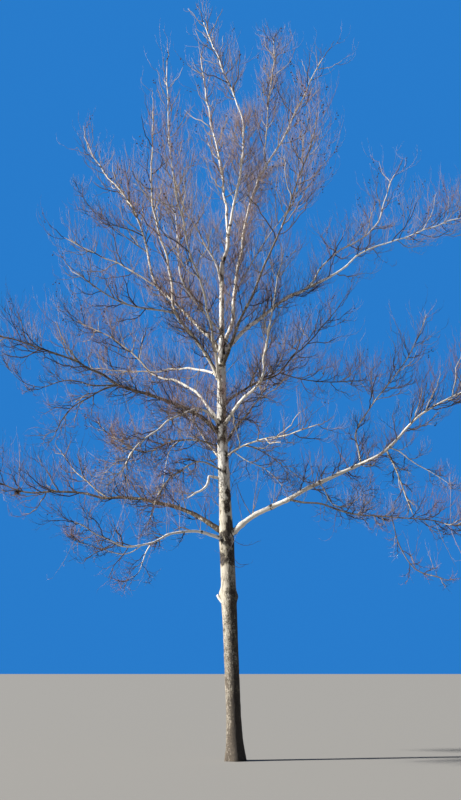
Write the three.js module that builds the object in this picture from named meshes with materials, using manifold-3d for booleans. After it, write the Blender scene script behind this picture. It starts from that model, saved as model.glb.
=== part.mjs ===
// American sycamore in winter: a bare tree about 25 m tall with seed balls on its twigs.
// Millimetres, +Z up. The origin is the middle of the flat cut under the trunk, at ground level.
// Headings are degrees around +Z from +X. Rises are degrees above level, from a limb's foot to its tip.

import * as THREE from 'three';
import { mergeVertices } from 'three/addons/utils/BufferGeometryUtils.js';
import Module from 'manifold-3d';

const wasm = await Module();
wasm.setup();

const up = new THREE.Vector3(0, 0, 1);
const gap = 0.35; // between a limb and the one it grows from

// Trunk: height and diameter up the stem, the lean to the left, and the kink near the top.
const trunkTop = 16400;
const trunkSides = 14;
const trunkGirth = [
  [0, 500], [700, 460], [1400, 430], [3600, 436], [4300, 452], [5900, 448], [6400, 470],
  [7100, 398], [8600, 345], [10600, 300], [12300, 262], [12900, 172], [14600, 150], [16400, 128],
];
const lean = { reach: -410, height: 10000, power: 1.1 };
const kink = { shift: 190, from: 15200, over: 800 };
const flare = { reach: 110, fade: 420, lobes: 5, turn: 25, least: 0.35 };
const knobs = [
  { height: 4720, heading: 180, reach: 75, half: 190 },
  { height: 4650, heading: 0, reach: 62, half: 170 },
  { height: 4500, heading: 285, reach: 40, half: 200 },
];

// Boughs: one tapering limb each, from the trunk or from another bough to the foot of a twig mass.
// at is a height on the trunk; along is a share of the parent bough's length.
const boughs = [
  { name: 'right_low_bough', on: 'trunk', at: 6450, heading: 348,
    rises: [39, 28, 22, 26, 25], length: 5600, foot: 180, tip: 86 },
  { name: 'right_riser_bough', on: 'right_low_bough', along: 0.83, heading: 350,
    rises: [97, 91], length: 1100, foot: 66, tip: 50 },
  { name: 'right_droop_bough', on: 'right_low_bough', along: 0.4, heading: 335,
    rises: [-4, -24, -12, -4], length: 3300, foot: 66, tip: 40 },
  { name: 'left_low_bough', on: 'trunk', at: 6550, heading: 172,
    rises: [34, 27, 7, 4], length: 4050, foot: 166, tip: 82 },
  { name: 'left_droop_bough', on: 'trunk', at: 6350, heading: 215,
    rises: [27, 2, -17, -24], length: 2800, foot: 108, tip: 60 },
  { name: 'left_mid_bough', on: 'trunk', at: 9600, heading: 188,
    rises: [50, 26, 17, 19], length: 3750, foot: 150, tip: 80 },
  { name: 'left_inner_bough', on: 'trunk', at: 9750, heading: 145,
    rises: [66, 49, 32, 9], length: 3650, foot: 110, tip: 62 },
  { name: 'left_hanging_bough', on: 'trunk', at: 9950, heading: 235,
    rises: [42, -6, -26, -33], length: 3050, foot: 92, tip: 48 },
  { name: 'left_level_bough', on: 'trunk', at: 11450, heading: 130,
    rises: [33, 19, 7, 10], length: 3900, foot: 92, tip: 50 },
  { name: 'left_upper_bough', on: 'trunk', at: 11250, heading: 214,
    rises: [60, 47, 46], length: 2750, foot: 128, tip: 94 },
  { name: 'left_leader_bough', on: 'trunk', at: 12250, heading: 148,
    rises: [58, 47, 45, 46], length: 3850, foot: 136, tip: 86 },
  { name: 'right_upper_bough', on: 'trunk', at: 12300, heading: 12,
    rises: [54, 43, 37, 26], length: 3850, foot: 146, tip: 92 },
  { name: 'right_far_bough', on: 'right_upper_bough', along: 1, heading: 5,
    rises: [20, 43, 31], length: 2650, foot: 84, tip: 52 },
  { name: 'right_knob_bough', on: 'trunk', at: 9850, heading: 312,
    rises: [42, 35, 27], length: 2200, foot: 116, tip: 78 },
  { name: 'right_behind_bough', on: 'trunk', at: 10500, heading: 48,
    rises: [45, 33, 24, 28], length: 3400, foot: 100, tip: 58 },
  { name: 'right_stem_bough', on: 'trunk', at: 12300, heading: 40,
    rises: [64, 83, 79, 75, 59], length: 7500, foot: 142, tip: 70 },
  { name: 'right_shoot_bough', on: 'right_stem_bough', along: 0.3, heading: 330,
    rises: [65, 50, 57], length: 1950, foot: 52, tip: 38 },
  { name: 'top_bough', on: 'trunk', at: 16250, heading: 290,
    rises: [56, 48, 83, 80], length: 3800, foot: 92, tip: 54 },
  { name: 'left_lead_bough', on: 'trunk', at: 14600, heading: 210,
    rises: [60, 81, 31], length: 1700, foot: 78, tip: 52 },
  { name: 'back_left_bough', on: 'trunk', at: 8300, heading: 100,
    rises: [48, 30, 20, 24], length: 3700, foot: 112, tip: 62 },
  { name: 'back_right_bough', on: 'trunk', at: 9100, heading: 72,
    rises: [44, 34, 30, 34], length: 3800, foot: 116, tip: 64 },
  { name: 'front_left_bough', on: 'trunk', at: 10900, heading: 262,
    rises: [38, 36, 30, 30], length: 3600, foot: 104, tip: 60 },
  { name: 'front_right_bough', on: 'trunk', at: 11800, heading: 296,
    rises: [46, 40, 34, 38], length: 3700, foot: 108, tip: 62 },
];

// Twig masses: one stem each, grown on from a bough's tip or straight from the trunk.
// spread is how far its twigs may stand from the stem; arms is the number of side branches.
// An aside mass leaves beside the bough's tip; the arms of a hanging one turn down as they go.
const masses = [
  { name: 'right_low_twigs', on: 'right_low_bough', heading: 348,
    rises: [61, 36, 25, 26, 12], length: 4300, spread: 2000, arms: 6 },
  { name: 'right_hanging_twigs', on: 'right_low_bough', aside: true, heading: 330,
    rises: [-40, -80, -80, -60], length: 2200, spread: 900, arms: 4, hanging: true },
  { name: 'right_riser_twigs', on: 'right_riser_bough', heading: 352,
    rises: [58, 48, 56, 66], length: 3600, spread: 1700, arms: 6 },
  { name: 'right_droop_twigs', on: 'right_droop_bough', heading: 348,
    rises: [-4, -12, 8], length: 2700, spread: 1300, arms: 5 },
  { name: 'right_tail_twigs', on: 'right_droop_bough', aside: true, heading: 335,
    rises: [-84, -70, -42, 4], length: 2600, spread: 700, arms: 4, hanging: true },
  { name: 'left_low_twigs', on: 'left_low_bough', heading: 174,
    rises: [12, 4, 2, 22, 26], length: 4500, spread: 1900, arms: 6 },
  { name: 'left_low_rising_twigs', on: 'left_low_bough', aside: true, heading: 160,
    rises: [50, 30, 40, 66], length: 2300, spread: 1400, arms: 4 },
  { name: 'left_droop_twigs', on: 'left_droop_bough', heading: 215,
    rises: [-34, 12, 22, 20], length: 2600, spread: 1600, arms: 6, hanging: true },
  { name: 'left_mid_twigs', on: 'left_mid_bough', heading: 186,
    rises: [31, 25, 18, 13, 16], length: 4900, spread: 2000, arms: 6 },
  { name: 'left_mid_low_twigs', on: 'left_mid_bough', aside: true, heading: 205,
    rises: [-34, -25, -48, -72], length: 2550, spread: 1300, arms: 5, hanging: true },
  { name: 'left_inner_twigs', on: 'left_inner_bough', heading: 150,
    rises: [41, 45, 29, 32], length: 4200, spread: 2000, arms: 7 },
  { name: 'left_hanging_twigs', on: 'left_hanging_bough', heading: 215,
    rises: [-28, -50, -62], length: 2300, spread: 1500, arms: 5, hanging: true },
  { name: 'left_level_twigs', on: 'left_level_bough', heading: 145,
    rises: [12, 10, 14], length: 3000, spread: 1800, arms: 6 },
  { name: 'left_upper_twigs', on: 'left_upper_bough', heading: 224,
    rises: [86, 74, 64, 88, 91, 89], length: 6700, spread: 1900, arms: 8 },
  { name: 'left_upper_side_twigs', on: 'left_upper_bough', aside: true, heading: 206,
    rises: [0, 1, 22, 40], length: 3500, spread: 1700, arms: 6 },
  { name: 'left_leader_twigs', on: 'left_leader_bough', heading: 132,
    rises: [62, 72, 48, 48, 61], length: 8600, spread: 2300, arms: 8 },
  { name: 'left_leader_side_twigs', on: 'left_leader_bough', aside: true, heading: 172,
    rises: [34, 31, 25, 36], length: 3900, spread: 1900, arms: 6 },
  { name: 'left_crook_twigs', on: 'trunk', at: 13000, heading: 240,
    rises: [26, 9, 42, 86, 78], length: 4700, spread: 1400, arms: 6, foot: 62 },
  { name: 'left_arch_twigs', on: 'trunk', at: 9200, heading: 150,
    rises: [37, 4, -17, 30, 35], length: 4900, spread: 1400, arms: 6, foot: 62 },
  { name: 'left_bow_twigs', on: 'trunk', at: 8500, heading: 225,
    rises: [24, -7, -36, -48, -86], length: 3900, spread: 1100, arms: 4, hanging: true, foot: 58 },
  { name: 'right_far_twigs', on: 'right_far_bough', heading: 4,
    rises: [17, 22, 25, 12], length: 3700, spread: 2000, arms: 7 },
  { name: 'right_arm_twigs', on: 'right_upper_bough', aside: true, heading: 38,
    rises: [58, 42, 30, 73, 59], length: 7200, spread: 2000, arms: 7 },
  { name: 'right_knob_twigs', on: 'right_knob_bough', heading: 320,
    rises: [83, 76, 73], length: 3600, spread: 1500, arms: 5 },
  { name: 'right_behind_twigs', on: 'right_behind_bough', heading: 40,
    rises: [52, 39, 49, 46], length: 4200, spread: 2000, arms: 7 },
  { name: 'right_behind_low_twigs', on: 'right_behind_bough', aside: true, heading: 22,
    rises: [-8, -1, 6, 10], length: 3300, spread: 1600, arms: 5 },
  { name: 'right_spray_twigs', on: 'trunk', at: 8900, heading: 322,
    rises: [26, 6, 2, 14], length: 3600, spread: 1700, arms: 6, foot: 70 },
  { name: 'right_stem_twigs', on: 'right_stem_bough', heading: 350,
    rises: [56, 65, 62, 65], length: 4500, spread: 2000, arms: 8 },
  { name: 'right_stem_inner_twigs', on: 'right_stem_bough', aside: true, heading: 310,
    rises: [98, 78, 78, 97], length: 4900, spread: 1600, arms: 7 },
  { name: 'right_shoot_twigs', on: 'right_shoot_bough', heading: 318,
    rises: [32, 41, 87, 85], length: 3900, spread: 1800, arms: 6 },
  { name: 'top_twigs', on: 'top_bough', heading: 190,
    rises: [79, 65, 69, 70], length: 3800, spread: 1900, arms: 8 },
  { name: 'top_left_twigs', on: 'trunk', at: 16250, heading: 128,
    rises: [87, 79, 72, 77, 81], length: 7600, spread: 1800, arms: 8, foot: 84 },
  { name: 'left_lead_twigs', on: 'left_lead_bough', heading: 248,
    rises: [9, 29, 71, 85, 88], length: 6100, spread: 1800, arms: 8 },
  { name: 'back_left_twigs', on: 'back_left_bough', heading: 108,
    rises: [26, 34, 30, 44], length: 4200, spread: 2300, arms: 7 },
  { name: 'back_right_twigs', on: 'back_right_bough', heading: 66,
    rises: [36, 44, 40, 56], length: 4400, spread: 2300, arms: 7 },
  { name: 'front_left_twigs', on: 'front_left_bough', heading: 252,
    rises: [34, 40, 50, 60], length: 4100, spread: 2300, arms: 7 },
  { name: 'front_right_twigs', on: 'front_right_bough', heading: 300,
    rises: [42, 50, 46, 62], length: 4300, spread: 2300, arms: 7 },
];

// Rule of growth, shared by every mass. Lengths are shares of the mass's spread, thicknesses shares of
// the limb that a shoot grows from, angles degrees. A lift above 0 turns a shoot towards the light.
const rule = {
  arm: { first: 0.14, last: 0.97, stray: 0.8, turn: 137.5, turnStray: 50, lean: [32, 58], length: [0.7, 1.0],
    fall: 0.45, lift: 0.6, droop: -0.45, girth: 0.62 },
  twig: { places: [0.34, 0.66], seed: 0.37, turn: 180, turnStray: 90, lean: [26, 50], length: [0.34, 0.52],
    fall: 0.35, lift: 0.3, girth: 0.46 },
  bendGirth: 0.62,
  tipRadius: 2,
  clearance: 4,
};
const boughSpacing = 950; // length of one straight stretch of a bough
const stemSpacing = 1000; // and of the stem of a mass
const stepsPerStretch = 6;
const roundBough = { foot: 120, sides: 6, otherSides: 5 };
const stemSides = 4;
const stem = { tip: 34, onTip: 0.92, aside: 0.72, asideStart: 0.9 };
const barkRoom = 60; // kept free of twigs round the trunk

// Seed balls: how many a mass carries, how far they hang under a tip and how far apart they are.
const ball = { radius: 46, leading: 2, aside: 1, hang: 0.6, apart: 4 };

const colours = { trunk: 0xb9ae9b, bough: 0xcfc6b4, twigs: 0x7d6459 };

// Helpers: angles, seeded chance, easing and steps along a list.
const rad = (degrees) => THREE.MathUtils.degToRad(degrees);

function chance(seed, k) {
  const wave = Math.sin(seed * 12.9898 + k * 78.233) * 43758.5453;
  return wave - Math.floor(wave);
}

function between([low, high], share) {
  return low + (high - low) * share;
}

function ease(t) {
  const s = Math.min(Math.max(t, 0), 1);
  return s * s * (3 - 2 * s);
}

function stationed(list, x) {
  const last = list.length - 1;
  if (x >= list[last][0]) return list[last][1];
  const i = Math.max(1, list.findIndex(([place]) => place > x));
  const [a, b] = [list[i - 1], list[i]];
  return a[1] + (b[1] - a[1]) * (x - a[0]) / (b[0] - a[0]);
}

function pointing(heading, rise) {
  const level = Math.cos(rad(rise));
  const [ahead, aside] = [Math.cos(rad(heading)), Math.sin(rad(heading))];
  return new THREE.Vector3(ahead * level, aside * level, Math.sin(rad(rise)));
}

// A level direction square to another one; for an upright one it is +X.
function sideways(way) {
  const side = new THREE.Vector3().crossVectors(way, up);
  return side.length() < 0.15 ? new THREE.Vector3(1, 0, 0) : side.normalize();
}

// Trunk: its axis leans and kinks, and its skin has a lobed flare and a few knobs.
function trunkAxis(height) {
  const leaned = lean.reach * Math.min(height / lean.height, 1) ** lean.power;
  const kinked = kink.shift * ease((height - kink.from) / kink.over);
  return new THREE.Vector3(leaned + kinked, 0, height);
}

function trunkRadius(height, angle) {
  let radius = stationed(trunkGirth, height) / 2;
  const lobe = 0.5 + 0.5 * Math.cos(flare.lobes * angle + rad(flare.turn));
  radius += flare.reach * Math.exp(-height / flare.fade) * between([flare.least, 1], lobe);
  for (const knob of knobs) {
    const facing = Math.max(0, Math.cos(angle - rad(knob.heading)));
    const near = Math.exp(-(((height - knob.height) / knob.half) ** 2));
    radius += knob.reach * near * facing ** 4;
  }
  return radius;
}

function trunkHeights() {
  const low = [0, 200, 500, 1000, 2000, 3400, 4300, 4700, 5000, 5900, 6400, 7100];
  const high = [8500, 10000, 11300, 12300, 12900, 14200, 15200, 15600, 16000, trunkTop];
  return [...low, ...high];
}

function trunkRings(grown) {
  return trunkHeights().map((height) => {
    const centre = trunkAxis(height);
    return Array.from({ length: trunkSides }, (unused, side) => {
      const angle = 2 * Math.PI * side / trunkSides;
      const radius = trunkRadius(height, angle) + grown;
      return centre.clone().add(new THREE.Vector3(Math.cos(angle) * radius, Math.sin(angle) * radius, 0));
    });
  });
}

// A skin over rings of points, closed at both ends; a last ring of one point makes a pointed end.
function skin(rings) {
  const points = rings.flat();
  const index = [];
  const sides = rings[0].length;
  let first = 0;
  for (let i = 1; i < sides - 1; i += 1) index.push(0, i + 1, i);
  for (let r = 0; r < rings.length - 1; r += 1) {
    const next = first + sides;
    const pointed = rings[r + 1].length === 1;
    for (let i = 0; i < sides; i += 1) {
      const j = (i + 1) % sides;
      if (pointed) {
        index.push(first + i, first + j, next);
      } else {
        index.push(first + i, first + j, next + j, first + i, next + j, next + i);
      }
    }
    first = next;
  }
  if (rings[rings.length - 1].length > 1) {
    for (let i = 1; i < sides - 1; i += 1) index.push(first, first + i, first + i + 1);
  }
  const geometry = new THREE.BufferGeometry();
  const numbers = points.flatMap((point) => point.toArray());
  geometry.setAttribute('position', new THREE.Float32BufferAttribute(numbers, 3));
  geometry.setIndex(index);
  return geometry;
}

// Rings square to a path, turned along with it so that they never twist.
function ringsAlong(path, sides, grown, pointed) {
  const corner = grown / Math.cos(Math.PI / sides);
  const rings = [];
  let across = null;
  path.forEach((station, i) => {
    const before = path[Math.max(i - 1, 0)].at;
    const after = path[Math.min(i + 1, path.length - 1)].at;
    const atEnd = i === 0 || i === path.length - 1;
    const ahead = atEnd && station.way ? station.way : after.clone().sub(before).normalize();
    if (!across) across = sideways(ahead);
    across = across.clone().addScaledVector(ahead, -across.dot(ahead)).normalize();
    const other = new THREE.Vector3().crossVectors(ahead, across);
    if (pointed && i === path.length - 1) {
      rings.push([station.at]);
      return;
    }
    rings.push(Array.from({ length: sides }, (unused, side) => {
      const angle = 2 * Math.PI * side / sides;
      const radius = station.radius + corner;
      return station.at.clone()
        .addScaledVector(across, Math.cos(angle) * radius)
        .addScaledVector(other, Math.sin(angle) * radius);
    }));
  });
  return rings;
}

// A limb's course: it starts at a point and turns through its rises as it goes.
function riseAt(rises, share) {
  const place = share * (rises.length - 1);
  const i = Math.min(Math.floor(place), rises.length - 2);
  return rises[i] + (rises[i + 1] - rises[i]) * (place - i);
}

function course(start, limb, footRadius, tipRadius, spacing) {
  const stretches = Math.max(2, Math.round(limb.length / spacing));
  const steps = stretches * stepsPerStretch;
  const at = start.clone();
  const path = [{ at: at.clone(), radius: footRadius, way: pointing(limb.heading, limb.rises[0]) }];
  for (let i = 1; i <= steps; i += 1) {
    const way = pointing(limb.heading, riseAt(limb.rises, (i - 0.5) / steps));
    at.addScaledVector(way, limb.length / steps);
    if (i % stepsPerStretch > 0) continue;
    path.push({ at: at.clone(), radius: footRadius + (tipRadius - footRadius) * i / steps, way });
  }
  return path;
}

function placeAlong(path, share) {
  const place = share * (path.length - 1);
  const i = Math.min(Math.floor(place), path.length - 2);
  const part = place - i;
  return {
    at: path[i].at.clone().lerp(path[i + 1].at, part),
    radius: path[i].radius + (path[i + 1].radius - path[i].radius) * part,
    way: part > 0.999 ? path[i + 1].way : path[i + 1].at.clone().sub(path[i].at).normalize(),
  };
}

// Solids: a closed geometry becomes a solid that can be joined and cut, and comes back as a mesh.
function solid(geometry) {
  const clean = mergeVertices(geometry, 1e-3);
  return new wasm.Manifold(new wasm.Mesh({
    numProp: 3,
    vertProperties: new Float32Array(clean.attributes.position.array),
    triVerts: new Uint32Array(clean.index.array),
  }));
}

function largestPiece(body) {
  const pieces = body.decompose();
  return pieces.reduce((best, piece) => (piece.volume() > best.volume() ? piece : best), pieces[0]);
}

function named(name, body, colour) {
  const shell = body.getMesh();
  const geometry = new THREE.BufferGeometry();
  geometry.setAttribute('position', new THREE.Float32BufferAttribute(shell.vertProperties, 3));
  geometry.setIndex(new THREE.Uint32BufferAttribute(shell.triVerts, 1));
  geometry.computeVertexNormals();
  const material = new THREE.MeshStandardMaterial({ color: colour, roughness: 0.85, metalness: 0 });
  const mesh = new THREE.Mesh(geometry, material);
  mesh.name = name;
  return mesh;
}

// Limbs already placed, as short round stretches, so that a twig can be tested against them.
const placed = [];

function place(name, path) {
  for (let i = 0; i < path.length - 1; i += 1) {
    const [a, b] = [path[i], path[i + 1]];
    placed.push({ name, a: a.at, b: b.at, radius: Math.max(a.radius, b.radius) });
  }
}

function stretchGap(p, q, r, s) {
  const [u, v, w] = [q.clone().sub(p), s.clone().sub(r), p.clone().sub(r)];
  const [a, b, c, d, e] = [u.dot(u), u.dot(v), v.dot(v), u.dot(w), v.dot(w)];
  const spread = a * c - b * b;
  let alongFirst = spread > 1e-6 ? THREE.MathUtils.clamp((b * e - c * d) / spread, 0, 1) : 0;
  let alongSecond = c > 1e-6 ? (b * alongFirst + e) / c : 0;
  alongSecond = THREE.MathUtils.clamp(alongSecond, 0, 1);
  alongFirst = a > 1e-6 ? THREE.MathUtils.clamp((b * alongSecond - d) / a, 0, 1) : 0;
  return w.clone().addScaledVector(u, alongFirst).addScaledVector(v, -alongSecond).length();
}

function isClear(path, parentName) {
  for (let i = 0; i < path.length - 1; i += 1) {
    const [a, b] = [path[i], path[i + 1]];
    const radius = Math.max(a.radius, b.radius);
    const reach = a.at.distanceTo(b.at) / 2 + radius;
    const middle = a.at.clone().lerp(b.at, 0.5);
    for (const other of placed) {
      if (other.name === parentName) continue;
      const far = reach + other.radius + other.a.distanceTo(other.b);
      if (middle.distanceTo(other.a) > far + rule.clearance) continue;
      const space = stretchGap(a.at, b.at, other.a, other.b) - radius - other.radius;
      if (space < rule.clearance) return false;
    }
  }
  return true;
}

// A shoot of two stretches that leaves its parent at an angle and then turns towards the light.
function shoot(from, way, lean, around, length, footRadius, lift) {
  const side = sideways(way);
  const over = new THREE.Vector3().crossVectors(side, way);
  const outwards = side.multiplyScalar(Math.cos(around)).addScaledVector(over, Math.sin(around));
  const first = way.clone().multiplyScalar(Math.cos(lean)).addScaledVector(outwards, Math.sin(lean));
  first.normalize();
  const second = first.clone().addScaledVector(up, lift).normalize();
  const bend = from.clone().addScaledVector(first, length * 0.5);
  return [
    { at: from.clone(), radius: footRadius, way: first },
    { at: bend, radius: footRadius * rule.bendGirth },
    { at: bend.clone().addScaledVector(second, length * 0.5), radius: rule.tipRadius, way: second },
  ];
}

function armOf(mass, i) {
  const { arm } = rule;
  const luck = (k) => chance(mass.seed, 10 * i + k);
  const along = between([arm.first, arm.last], (i + arm.stray * luck(0)) / mass.arms);
  const foot = placeAlong(mass.path, along);
  const length = mass.spread * between(arm.length, luck(1)) * (1 - arm.fall * along);
  const around = rad(arm.turn * i + arm.turnStray * luck(2));
  const lean = rad(between(arm.lean, luck(3)));
  const lift = mass.hanging ? arm.droop : arm.lift;
  return shoot(foot.at, foot.way, lean, around, length, foot.radius * arm.girth, lift);
}

// A twig is straight, from its place on one of the arm's two stretches to where its shoot would end.
function twigOf(mass, arm, i, k) {
  const { twig } = rule;
  const luck = (j) => chance(mass.seed + twig.seed, 100 * i + 10 * k + j);
  const place = twig.places[k];
  const [from, to] = place < 0.5 ? [arm[0], arm[1]] : [arm[1], arm[2]];
  const part = (place % 0.5) * 2;
  const foot = from.at.clone().lerp(to.at, part);
  const way = to.at.clone().sub(from.at).normalize();
  const length = mass.spread * between(twig.length, luck(0)) * (1 - twig.fall * place);
  const around = rad(twig.turn * k + twig.turnStray * (luck(1) - 0.5));
  const lean = rad(between(twig.lean, luck(2)));
  const thick = between([from.radius, to.radius], part) * twig.girth;
  const [root, , tip] = shoot(foot, way, lean, around, length, thick, twig.lift);
  return [root, tip];
}

function keepsToSpace(mass, tip) {
  const stretches = mass.path.slice(1).map((station, i) => stretchGap(mass.path[i].at, station.at, tip, tip));
  return Math.min(...stretches) <= mass.spread;
}

// Grown limbs: paths of the boughs and the mass stems, then their twigs.
const paths = new Map();

function startOf(limb) {
  if (limb.on === 'trunk') return trunkAxis(limb.at);
  const parent = paths.get(limb.on);
  return placeAlong(parent, limb.along ?? 1).at;
}

function stemOf(mass) {
  const tip = stem.tip / 2;
  if (mass.on === 'trunk') return course(trunkAxis(mass.at), mass, mass.foot / 2, tip, stemSpacing);
  const end = placeAlong(paths.get(mass.on), 1);
  if (mass.aside) {
    const foot = end.at.clone().addScaledVector(end.way, -stem.asideStart * end.radius);
    return course(foot, mass, end.radius * stem.aside, tip, stemSpacing);
  }
  const foot = end.at.clone().addScaledVector(end.way, gap);
  const path = course(foot, mass, end.radius * stem.onTip, tip, stemSpacing);
  path[0].way = end.way;
  return path;
}

// A limb's solid, or the slightly larger one that cuts its neighbours back: that one also reaches
// a little behind the foot and past the end.
function tube(path, sides, grown, pointed) {
  const rings = ringsAlong(path, sides, grown, pointed);
  if (grown > 0) {
    const ends = [path[0].way, path[path.length - 1].way];
    const moved = (ring, way, by) => ring.map((point) => point.clone().addScaledVector(way, by));
    rings.unshift(moved(rings[0], ends[0], -2 * grown));
    const last = moved(rings[rings.length - 1], ends[1], 2 * grown);
    if (pointed) rings.pop();
    rings.push(last);
  }
  return solid(skin(rings));
}

// What a limb would touch where it starts: its parent, and the limbs that start there before it.
function cutBack(body, limb) {
  const twins = [...boughs, ...masses].filter((other) => other.on === limb.on && other !== limb);
  let cut = body.subtract(cutters.get(limb.on));
  for (const twin of twins) {
    if (cutters.has(twin.name)) cut = cut.subtract(cutters.get(twin.name));
  }
  return cut;
}

const cutters = new Map([['trunk', solid(skin(trunkRings(gap)))]]);
place('trunk', trunkHeights().map((height) => ({
  at: trunkAxis(height),
  radius: trunkRadius(height, 0) + barkRoom,
})));

const tree = new THREE.Group();
tree.add(named('trunk', solid(skin(trunkRings(0))), colours.trunk));

for (const bough of boughs) {
  const path = course(startOf(bough), bough, bough.foot / 2, bough.tip / 2, boughSpacing);
  paths.set(bough.name, path);
  place(bough.name, path);
  const sides = bough.foot > roundBough.foot ? roundBough.sides : roundBough.otherSides;
  const whole = tube(path, sides, 0, false);
  const body = largestPiece(cutBack(whole, bough));
  cutters.set(bough.name, tube(path, sides, gap, false));
  tree.add(named(bough.name, body, colours.bough));
}

masses.forEach((mass, number) => {
  mass.seed = number + 1;
  mass.path = stemOf(mass);
  place(mass.name, mass.path);
});

function seedBall(centre) {
  const geometry = new THREE.IcosahedronGeometry(ball.radius, 0);
  geometry.deleteAttribute('normal');
  geometry.deleteAttribute('uv');
  geometry.translate(centre.x, centre.y, centre.z);
  return solid(geometry);
}

function growTwigs(mass) {
  const shoots = [];
  const grow = (name, parentName, path) => {
    if (!keepsToSpace(mass, path[path.length - 1].at) || !isClear(path, parentName)) return false;
    shoots.push(path);
    place(name, path);
    return true;
  };
  for (let i = 0; i < mass.arms; i += 1) {
    const arm = armOf(mass, i);
    const armName = `${mass.name} arm ${i}`;
    if (!grow(armName, mass.name, arm)) continue;
    for (let k = 0; k < rule.twig.places.length; k += 1) {
      grow(`${armName} twig ${k}`, armName, twigOf(mass, arm, i, k));
    }
  }
  return shoots;
}

function touches(other, centre) {
  return stretchGap(centre, centre, other.a, other.b) < ball.radius + other.radius + rule.clearance;
}

// Seed balls hang just under the highest tips that have room for them; the hanging masses have none.
function hangBalls(mass, shoots) {
  const tips = shoots.map((path) => path[path.length - 1].at).sort((a, b) => b.z - a.z);
  const wanted = mass.aside ? ball.aside : ball.leading;
  const centres = [];
  for (const tip of tips) {
    if (centres.length === wanted) break;
    const centre = tip.clone().addScaledVector(up, -ball.hang * ball.radius);
    if (centres.some((other) => other.distanceTo(centre) < ball.apart * ball.radius)) continue;
    if (placed.some((other) => !other.name.startsWith(mass.name) && touches(other, centre))) continue;
    centres.push(centre);
  }
  return centres;
}

function buildMass(mass) {
  const shoots = growTwigs(mass);
  let body = tube(mass.path, stemSides, 0, true);
  for (const path of shoots) body = body.add(solid(skin(ringsAlong(path, 3, 0, true))));
  for (const centre of mass.hanging ? [] : hangBalls(mass, shoots)) {
    body = body.add(seedBall(centre));
    place(`${mass.name} ball`, [{ at: centre, radius: ball.radius }, { at: centre, radius: ball.radius }]);
  }
  body = largestPiece(cutBack(body, mass));
  cutters.set(mass.name, tube(mass.path, stemSides, gap, true));
  return body;
}

for (const mass of masses) tree.add(named(mass.name, buildMass(mass), colours.twigs));

export default tree;
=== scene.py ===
# %% [markdown]
# # A sycamore in winter
#
# This lesson dresses a tall, bare sycamore. On the real tree the trunk is scaly and grey-brown at the foot
# and sheds its bark in flakes higher up, until the boughs are almost white. The construction model gives the
# trunk, the boughs and the reach of each mass of twigs. Everything here grows on from it by the same rule of
# growth, in metres and in the same frame.

# %% Load the frame
import math

import bpy
import numpy as np
from mathutils import Matrix, Vector


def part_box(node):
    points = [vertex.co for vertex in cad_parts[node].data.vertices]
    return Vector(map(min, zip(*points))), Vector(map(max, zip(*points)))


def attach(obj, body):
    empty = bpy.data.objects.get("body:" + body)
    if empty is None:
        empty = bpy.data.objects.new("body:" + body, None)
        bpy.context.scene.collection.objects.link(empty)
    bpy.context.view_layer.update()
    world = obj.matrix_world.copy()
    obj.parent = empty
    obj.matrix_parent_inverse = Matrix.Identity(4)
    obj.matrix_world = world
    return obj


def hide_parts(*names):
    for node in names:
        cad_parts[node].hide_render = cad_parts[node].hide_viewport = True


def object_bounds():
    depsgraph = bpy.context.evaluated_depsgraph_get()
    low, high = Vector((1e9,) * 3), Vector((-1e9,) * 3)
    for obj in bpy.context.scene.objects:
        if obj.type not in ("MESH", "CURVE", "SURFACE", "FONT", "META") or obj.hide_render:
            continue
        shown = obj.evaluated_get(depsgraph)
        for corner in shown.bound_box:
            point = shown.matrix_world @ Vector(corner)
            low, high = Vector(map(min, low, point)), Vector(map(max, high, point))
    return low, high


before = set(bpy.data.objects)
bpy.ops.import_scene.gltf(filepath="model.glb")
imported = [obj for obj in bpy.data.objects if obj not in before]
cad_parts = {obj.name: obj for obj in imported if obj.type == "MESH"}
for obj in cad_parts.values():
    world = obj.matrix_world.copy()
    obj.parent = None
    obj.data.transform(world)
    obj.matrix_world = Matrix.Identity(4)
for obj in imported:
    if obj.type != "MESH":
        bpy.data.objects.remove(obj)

cad_low, cad_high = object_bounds()
print("construction model from", tuple(cad_low), "to", tuple(cad_high))

# %% [markdown]
# ## Camera
#
# A tree this tall is seen from below: the camera stands on a rise some way off, level with the lower trunk,
# and looks up. The tilt makes the trunk lean back a little in the picture and shows the boughs from
# underneath. A longer lens from further away would be simpler to set, but it would flatten the crown.

# %% Camera
eye_place = (-0.13, -32.0, 2.6)
eye_tilt = 14.32  # degrees above the horizon
lens_length = 47.25  # millimetres
sensor_side = 36  # millimetres, the long one
farthest_seen = 500

bpy.ops.object.camera_add(location=eye_place, rotation=(math.radians(90 + eye_tilt), 0, 0))
camera = bpy.context.object
camera.name = "eye"
camera.data.sensor_fit = "AUTO"
camera.data.sensor_width = sensor_side
camera.data.lens = lens_length
camera.data.clip_end = farthest_seen
bpy.context.scene.camera = camera
print("camera", tuple(camera.location), "lens", camera.data.lens)

# %% [markdown]
# ## Light and floor
#
# Bark reads by its light and shade, so one soft lamp stands on the left and leaves the right side of every
# limb darker. The room gives the rest. It shows the camera a plain backdrop and lights the tree with less
# than that, or the shade sides would be too pale. A wide floor in one colour is enough for the tree to stand
# on. All of it stays plain, so that nothing competes with thousands of thin twigs.

# %% Light and floor
key_strength = 9.0
key_softness = math.radians(3)
key_from = Vector((-0.80, -0.16, 0.45))
key_colour = (1.0, 0.97, 0.92)
backdrop_colour = (0.022, 0.20, 0.60)
fill_colour = (0.058, 0.090, 0.155)
floor_size = 900
floor_colour = (0.27, 0.262, 0.245)


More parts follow.
